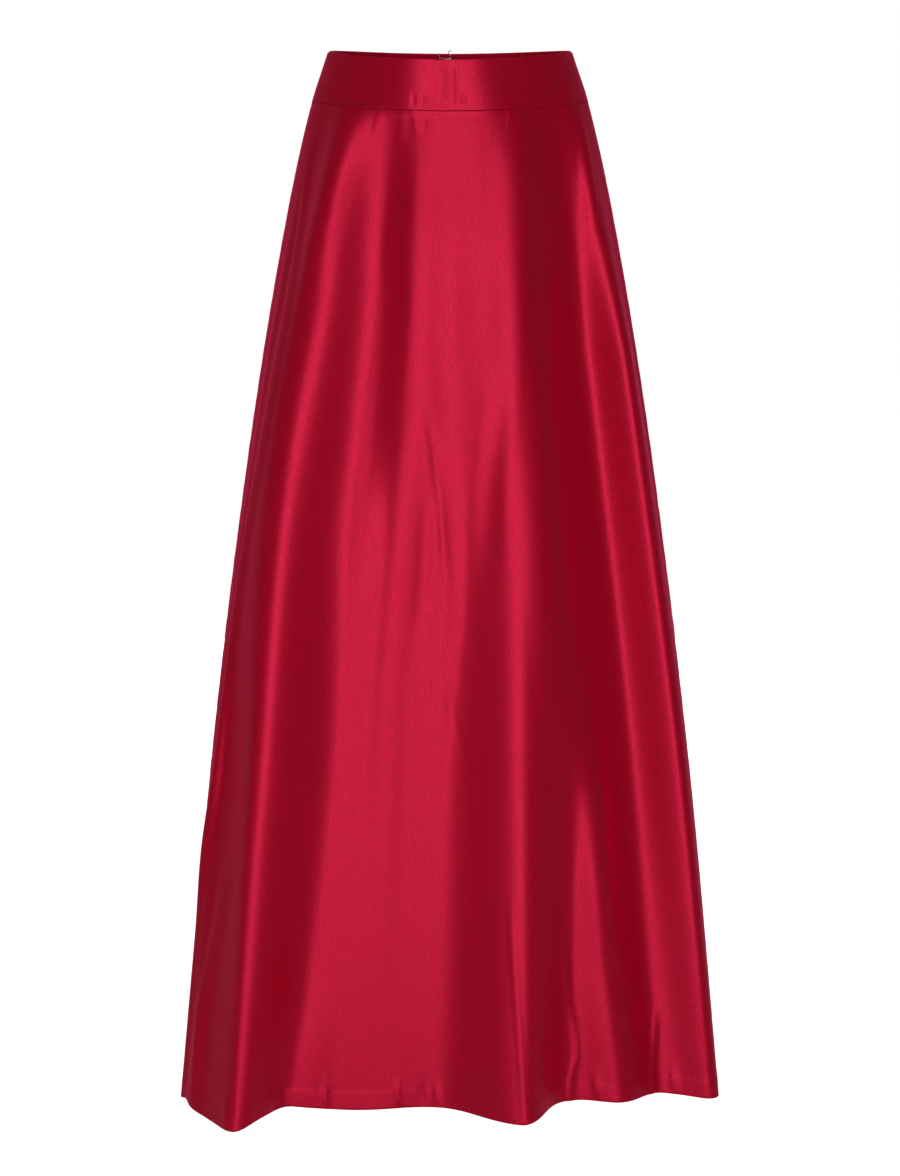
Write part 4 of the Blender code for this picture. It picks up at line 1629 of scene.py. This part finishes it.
def wear_specks() -> bpy.types.NodeTree:
    """Node group for the rubbed places and fine scratches of small hard pieces.

    Returns:
        The group: a place goes in, a mask of rubbed places and a height come out.
    """
    group, sheet, start, end = new_group("wear specks", {"Amount": 0.5}, ("Rubbed", "Height"))
    patches = sheet.noise(start.outputs["Place"], Scale=420.0, Detail=4.0)
    rubbed = sheet.clearer(patches, low=0.52, high=0.72)
    sheet.join(start.outputs["Amount"], rubbed.inputs["To Max"])
    sheet.join(rubbed.outputs["Result"], end.inputs["Rubbed"])
    drawn = sheet.add("ShaderNodeMapping")
    drawn.inputs["Rotation"].default_value = (0.3, 0.5, 0.2)
    drawn.inputs["Scale"].default_value = (6000.0, 6000.0, 380.0)
    sheet.join(start.outputs["Place"], drawn.inputs["Vector"])
    sheet.join(sheet.noise(drawn.outputs["Vector"], Scale=1.0), end.inputs["Height"])
    return group


@dataclass(frozen=True)
class HardFinish:
    """Enamel, plated steel or nylon of the small fastenings.

    Attributes:
        name: the material's name.
        colour: its colour.
        worn: its colour where it is rubbed.
        metallic: how metallic it is.
        roughness: its roughness where it is clean and where it is rubbed.
        amount: how much of it is rubbed.
        bump: height of its scratches in metres.
    """

    name: str
    colour: Colour
    worn: Colour
    metallic: float
    roughness: tuple[float, float]
    amount: float
    bump: float

    def build(self, wear: bpy.types.NodeTree) -> bpy.types.Material:
        """Make the material.

        Args:
            wear: the wear group.

        Returns:
            The material.
        """
        material, sheet, shader = new_material(self.name, self.colour)
        place = sheet.add("ShaderNodeTexCoord")
        specks = sheet.add("ShaderNodeGroup", node_tree=wear)
        specks.inputs["Amount"].default_value = self.amount
        sheet.join(place.outputs["Object"], specks.inputs["Place"])
        rubbed = specks.outputs["Rubbed"]
        sheet.join(sheet.mix(rubbed, self.colour, self.worn), shader.inputs["Base Color"])
        sheet.join(sheet.ramp(rubbed, *self.roughness), shader.inputs["Roughness"])
        sheet.bump(specks.outputs["Height"], self.bump, shader)
        shader.inputs["Metallic"].default_value = self.metallic
        return material


@dataclass(frozen=True)
class WovenFinish:
    """Dull woven or twisted yarn, as on tapes and sewing thread.

    Attributes:
        name: the material's name.
        colour: colour on top of the yarns.
        shade: colour between them, darker as painted shade in the hollows between the yarns.
        roughness: its roughness.
        ribs: ribs in a metre along the cloth, and across it.
        bump: height of the ribs in metres.
        follows_cloth: whether the yarns follow the piece's own map of the cloth.
        spread: how far the roughness changes over the yarns.
        sheen: strength of its sheen.
        grain: streaks in a metre across the yarns, and along them.
    """

    name: str
    colour: Colour
    shade: Colour
    roughness: float
    ribs: tuple[float, float]
    bump: float
    follows_cloth: bool
    spread: float = 0.06
    sheen: float = 0.15
    grain: tuple[float, float] = (2600.0, 900.0)

    def build(self, grain: bpy.types.NodeTree) -> bpy.types.Material:
        """Make the material.

        Args:
            grain: the thread grain group.

        Returns:
            The material.
        """
        material, sheet, shader = new_material(self.name, self.colour)
        if self.follows_cloth:
            place = sheet.add("ShaderNodeUVMap", uv_map=CLOTH_MAP).outputs["UV"]
        else:
            place = sheet.add("ShaderNodeTexCoord").outputs["Object"]
        threads = sheet.add("ShaderNodeGroup", node_tree=grain)
        threads.inputs["Across"].default_value, threads.inputs["Along"].default_value = self.grain
        sheet.join(place, threads.inputs["Place"])
        heights = []
        for way, count in zip(("X", "Y"), self.ribs):
            wave = sheet.add("ShaderNodeTexWave", bands_direction=way)
            wave.inputs["Scale"].default_value = count * math.pi / 10.0
            wave.inputs["Distortion"].default_value = 0.4
            wave.inputs["Detail"].default_value = 1.0
            sheet.join(place, wave.inputs["Vector"])
            heights.append(wave.outputs["Fac"])
        yarns = sheet.add("ShaderNodeMath", operation="MAXIMUM")
        sheet.join(heights[0], yarns.inputs[0])
        sheet.join(heights[1], yarns.inputs[1])
        both = sheet.add("ShaderNodeMath", operation="MULTIPLY")
        sheet.join(yarns.outputs["Value"], both.inputs[0])
        sheet.join(threads.outputs["Height"], both.inputs[1])
        relief = both.outputs["Value"]
        # Painted shade: the colour darkens towards the shade colour where the yarns' relief is low,
        # between the yarns.
        sheet.join(sheet.mix(relief, self.shade, self.colour), shader.inputs["Base Color"])
        low, high = self.roughness - self.spread, self.roughness + self.spread
        sheet.join(sheet.ramp(threads.outputs["Streaks"], high, low), shader.inputs["Roughness"])
        sheet.bump(relief, self.bump, shader)
        shader.inputs["Sheen Weight"].default_value = self.sheen
        return material


# Each second colour is painted shade in the hollows between the yarns.
TAPE_WEAVE = WovenFinish("zip tape weave", (0.34, 0.004, 0.020), (0.15, 0.001, 0.008), 0.80,
                         (900.0, 1600.0), 0.00012, True)
SEWING_THREAD = WovenFinish("sewing thread", (0.42, 0.004, 0.022), (0.20, 0.002, 0.010), 0.55,
                            (2400.0, 2400.0), 0.00006, False)
RED_ENAMEL = HardFinish("red enamel", (0.50, 0.002, 0.020), (0.34, 0.004, 0.018), 0.0,
                        (0.26, 0.46), 0.8, 0.00001)
PLATED_STEEL = HardFinish("plated steel", (0.62, 0.61, 0.60), (0.42, 0.41, 0.40), 1.0,
                          (0.20, 0.42), 0.7, 0.00001)
RED_NYLON = HardFinish("red nylon", (0.26, 0.002, 0.012), (0.34, 0.006, 0.022), 0.0,
                       (0.34, 0.50), 0.6, 0.00001)


@dataclass(frozen=True)
class CarriedPieces:
    """Hard pieces of the zip whose CAD shape stays, with their own finish.

    Attributes:
        nodes: the CAD nodes.
    """

    nodes: tuple[str, ...]

    def dress(self, finish: bpy.types.Material) -> None:
        """Give every material slot of the nodes the finish."""
        for node in self.nodes:
            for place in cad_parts[node].material_slots:
                place.material = finish


@dataclass(frozen=True)
class Softbox:
    """A large soft light.

    Attributes:
        name: its name.
        place: where it stands.
        aim: the point that it faces.
        size: its width and height.
        power: its power in watts.
    """

    name: str
    place: Point
    aim: Point
    size: tuple[float, float]
    power: float

    def build(self) -> bpy.types.Object:
        """Make the light."""
        light = bpy.data.lights.new(self.name, "AREA")
        light.shape = "RECTANGLE"
        light.size, light.size_y = self.size
        light.energy = self.power
        obj = bpy.data.objects.new(self.name, light)
        bpy.context.scene.collection.objects.link(obj)
        obj.location = self.place
        way = Vector(self.aim) - Vector(self.place)
        obj.rotation_euler = way.to_track_quat("-Z", "Z").to_euler()
        obj.visible_camera = False
        return obj


@dataclass(frozen=True)
class Studio:
    """Camera, lights and floor.

    Attributes:
        distance: how far the camera stands in front of the skirt's middle.
        height: height of the camera above the top of the waistband.
        tilt: how far it looks down, in degrees.
        lens: its focal length on a sensor 36 mm high.
        floor: height of the floor.
        floor_grey: how pale the floor is.
        softboxes: the lights.
        around: brightness of the studio around the skirt.
        backdrop: brightness of the floor and the backdrop as the camera sees them.
    """

    distance: float = 3.5
    height: float = 0.11
    tilt: float = 10.8
    lens: float = 103.84
    floor: float = -1.45
    floor_grey: float = 0.80
    softboxes: tuple[Softbox, ...] = (
        Softbox("front softbox", (-0.30, -4.1, -0.38), (-0.30, 0.0, -0.38), (1.9, 2.0), 32.5),
        Softbox("top softbox", (-0.22, -4.1, 1.98), (0.0, 0.0, -0.10), (1.9, 1.4), 35.0),
        Softbox("low softbox", (-0.22, -2.2, -1.42), (-0.22, -2.2, 1.0), (1.8, 2.6), 15.5),
        Softbox("back softbox", (0.0, 3.8, 0.1), (0.0, 0.0, -0.55), (2.0, 3.4), 42.0),
    )
    around: float = 0.16
    backdrop: float = 1.02

    def camera(self) -> bpy.types.Object:
        """Make the camera and set it as the scene's."""
        lens = bpy.data.cameras.new("camera")
        lens.sensor_fit = "VERTICAL"
        lens.sensor_height = 36.0
        lens.lens = self.lens
        lens.clip_end = 500.0
        obj = bpy.data.objects.new("camera", lens)
        bpy.context.scene.collection.objects.link(obj)
        obj.location = (0.0, -self.distance, self.height)
        obj.rotation_euler = (math.radians(90.0 - self.tilt), 0.0, 0.0)
        bpy.context.scene.camera = obj
        return obj

    def surroundings(self) -> None:
        """Pale world: dim as a light, and bright where the camera looks past the floor."""
        world = bpy.data.worlds.new("studio")
        bpy.context.scene.world = world
        world.use_nodes = True
        sheet = NodeSheet(world.node_tree)
        background = world.node_tree.nodes["Background"]
        seen = sheet.add("ShaderNodeLightPath").outputs["Is Camera Ray"]
        sheet.join(sheet.ramp(seen, self.around, self.backdrop), background.inputs["Strength"])
        background.inputs["Color"].default_value = (1.0, 1.0, 1.0, 1.0)

    def floor_plane(self) -> bpy.types.Object:
        """Plain pale floor."""
        deselect()
        bpy.ops.mesh.primitive_circle_add(vertices=96, radius=240.0, fill_type="NGON",
                                          location=(0.0, 0.0, self.floor))
        obj = bpy.context.object
        obj.name = "floor"
        grey = (self.floor_grey, self.floor_grey, self.floor_grey)
        material, sheet, shader = new_material("pale floor", grey)
        shader.inputs["Base Color"].default_value = (*grey, 1.0)
        shader.inputs["Roughness"].default_value = 0.9
        shader.inputs["Emission Color"].default_value = (1.0, 1.0, 1.0, 1.0)
        seen = sheet.add("ShaderNodeLightPath").outputs["Is Camera Ray"]
        glow = self.backdrop - self.floor_grey * self.around
        sheet.join(sheet.ramp(seen, 0.0, glow), shader.inputs["Emission Strength"])
        obj.data.materials.append(material)
        return obj

    def build(self) -> None:
        """Set up the whole studio."""
        bpy.context.scene.view_settings.view_transform = "Standard"
        self.camera()
        self.surroundings()
        self.floor_plane()
        for softbox in self.softboxes:
            softbox.build()


def main() -> None:
    """Build the studio and the skirt's pieces in order."""
    logging.basicConfig(level=logging.INFO, format="%(message)s")
    Studio().build()
    grain = thread_grain()
    wear = wear_specks()
    satin = RED_SATIN.build(grain)
    reverse = SATIN_REVERSE.build(grain)
    # The facing's finish is painted lighter, as painted light on the inside of the band.
    facing = FACING_SATIN_PAINTED_LIGHTER.build(grain)
    woven = TAPE_WEAVE.build(grain)
    thread = SEWING_THREAD.build(grain)
    bands = (
        Waistband("waistband_front_satin", "waistband_front",
                  -90.0, 90.0, 300, SKIRT_DRAPE, (0.375, 0.092), 0.0193),
        Waistband("waistband_back_left_satin", "waistband_back_left",
                  90.0, 180.0, 140, SKIRT_DRAPE, (0.195, 0.063), 0.0098),
        Waistband("waistband_back_right_satin", "waistband_back_right",
                  -180.0, -90.0, 140, SKIRT_DRAPE, (0.195, 0.063), 0.0098),
    )
    understitching = []
    for band in bands:
        band.build(satin, facing)
        understitching += band.stitches(drop=0.0032, spacing=0.0028)
    panels = (
        SkirtPanel("skirt_front_satin", "skirt_front",
                   -90.0, 90.0, 300, SKIRT_DRAPE, (0.73, 1.09), 0.657, ("waistband_front_satin",)),
        SkirtPanel("skirt_back_left_satin", "skirt_back_left",
                   90.0, 180.0, 150, SKIRT_DRAPE, (0.48, 1.08), 0.372, ("waistband_back_left_satin",)),
        SkirtPanel("skirt_back_right_satin", "skirt_back_right",
                   -180.0, -90.0, 150, SKIRT_DRAPE, (0.48, 1.08), 0.376, ("waistband_back_right_satin",)),
    )
    hemming = []
    for panel in panels:
        panel.build(satin, reverse)
        hemming += panel.stitches(spacing=0.0062)
    Stitching().build("understitching", understitching, thread)
    Stitching(length=0.0034, thread=0.00014, sink=0.0001).build("hem_stitches", hemming, thread)
    inside = Inside(SKIRT_DRAPE)
    left_tape = ZipTape("zip_tape_left_woven", "zip_tape_left", Side.LEFT, inside)
    left_tape.build(woven, ("skirt_back_left_satin",))
    right_tape = ZipTape("zip_tape_right_woven", "zip_tape_right", Side.RIGHT, inside)
    right_tape.build(woven, ("skirt_back_right_satin",))
    nylon = RED_NYLON.build(wear)
    ZipCoil(inside).build("zip_coil_left", Side.LEFT, nylon)
    ZipCoil(inside).build("zip_coil_right", Side.RIGHT, nylon)
    steel = PLATED_STEEL.build(wear)
    CarriedPieces(("zip_slider", "zip_pull_tab")).dress(RED_ENAMEL.build(wear))
    CarriedPieces(("zip_bottom_stop",)).dress(steel)
    fastening = Fastening(SKIRT_DRAPE)
    fastening.bent("hook", fastening.hook_path(), steel)
    fastening.bent("eye", fastening.eye_path(), steel)
    fastening.whipping("hook_and_eye_thread", thread)
    fastening.thread_end("thread_end", thread)


if __name__ == "__main__":
    main()
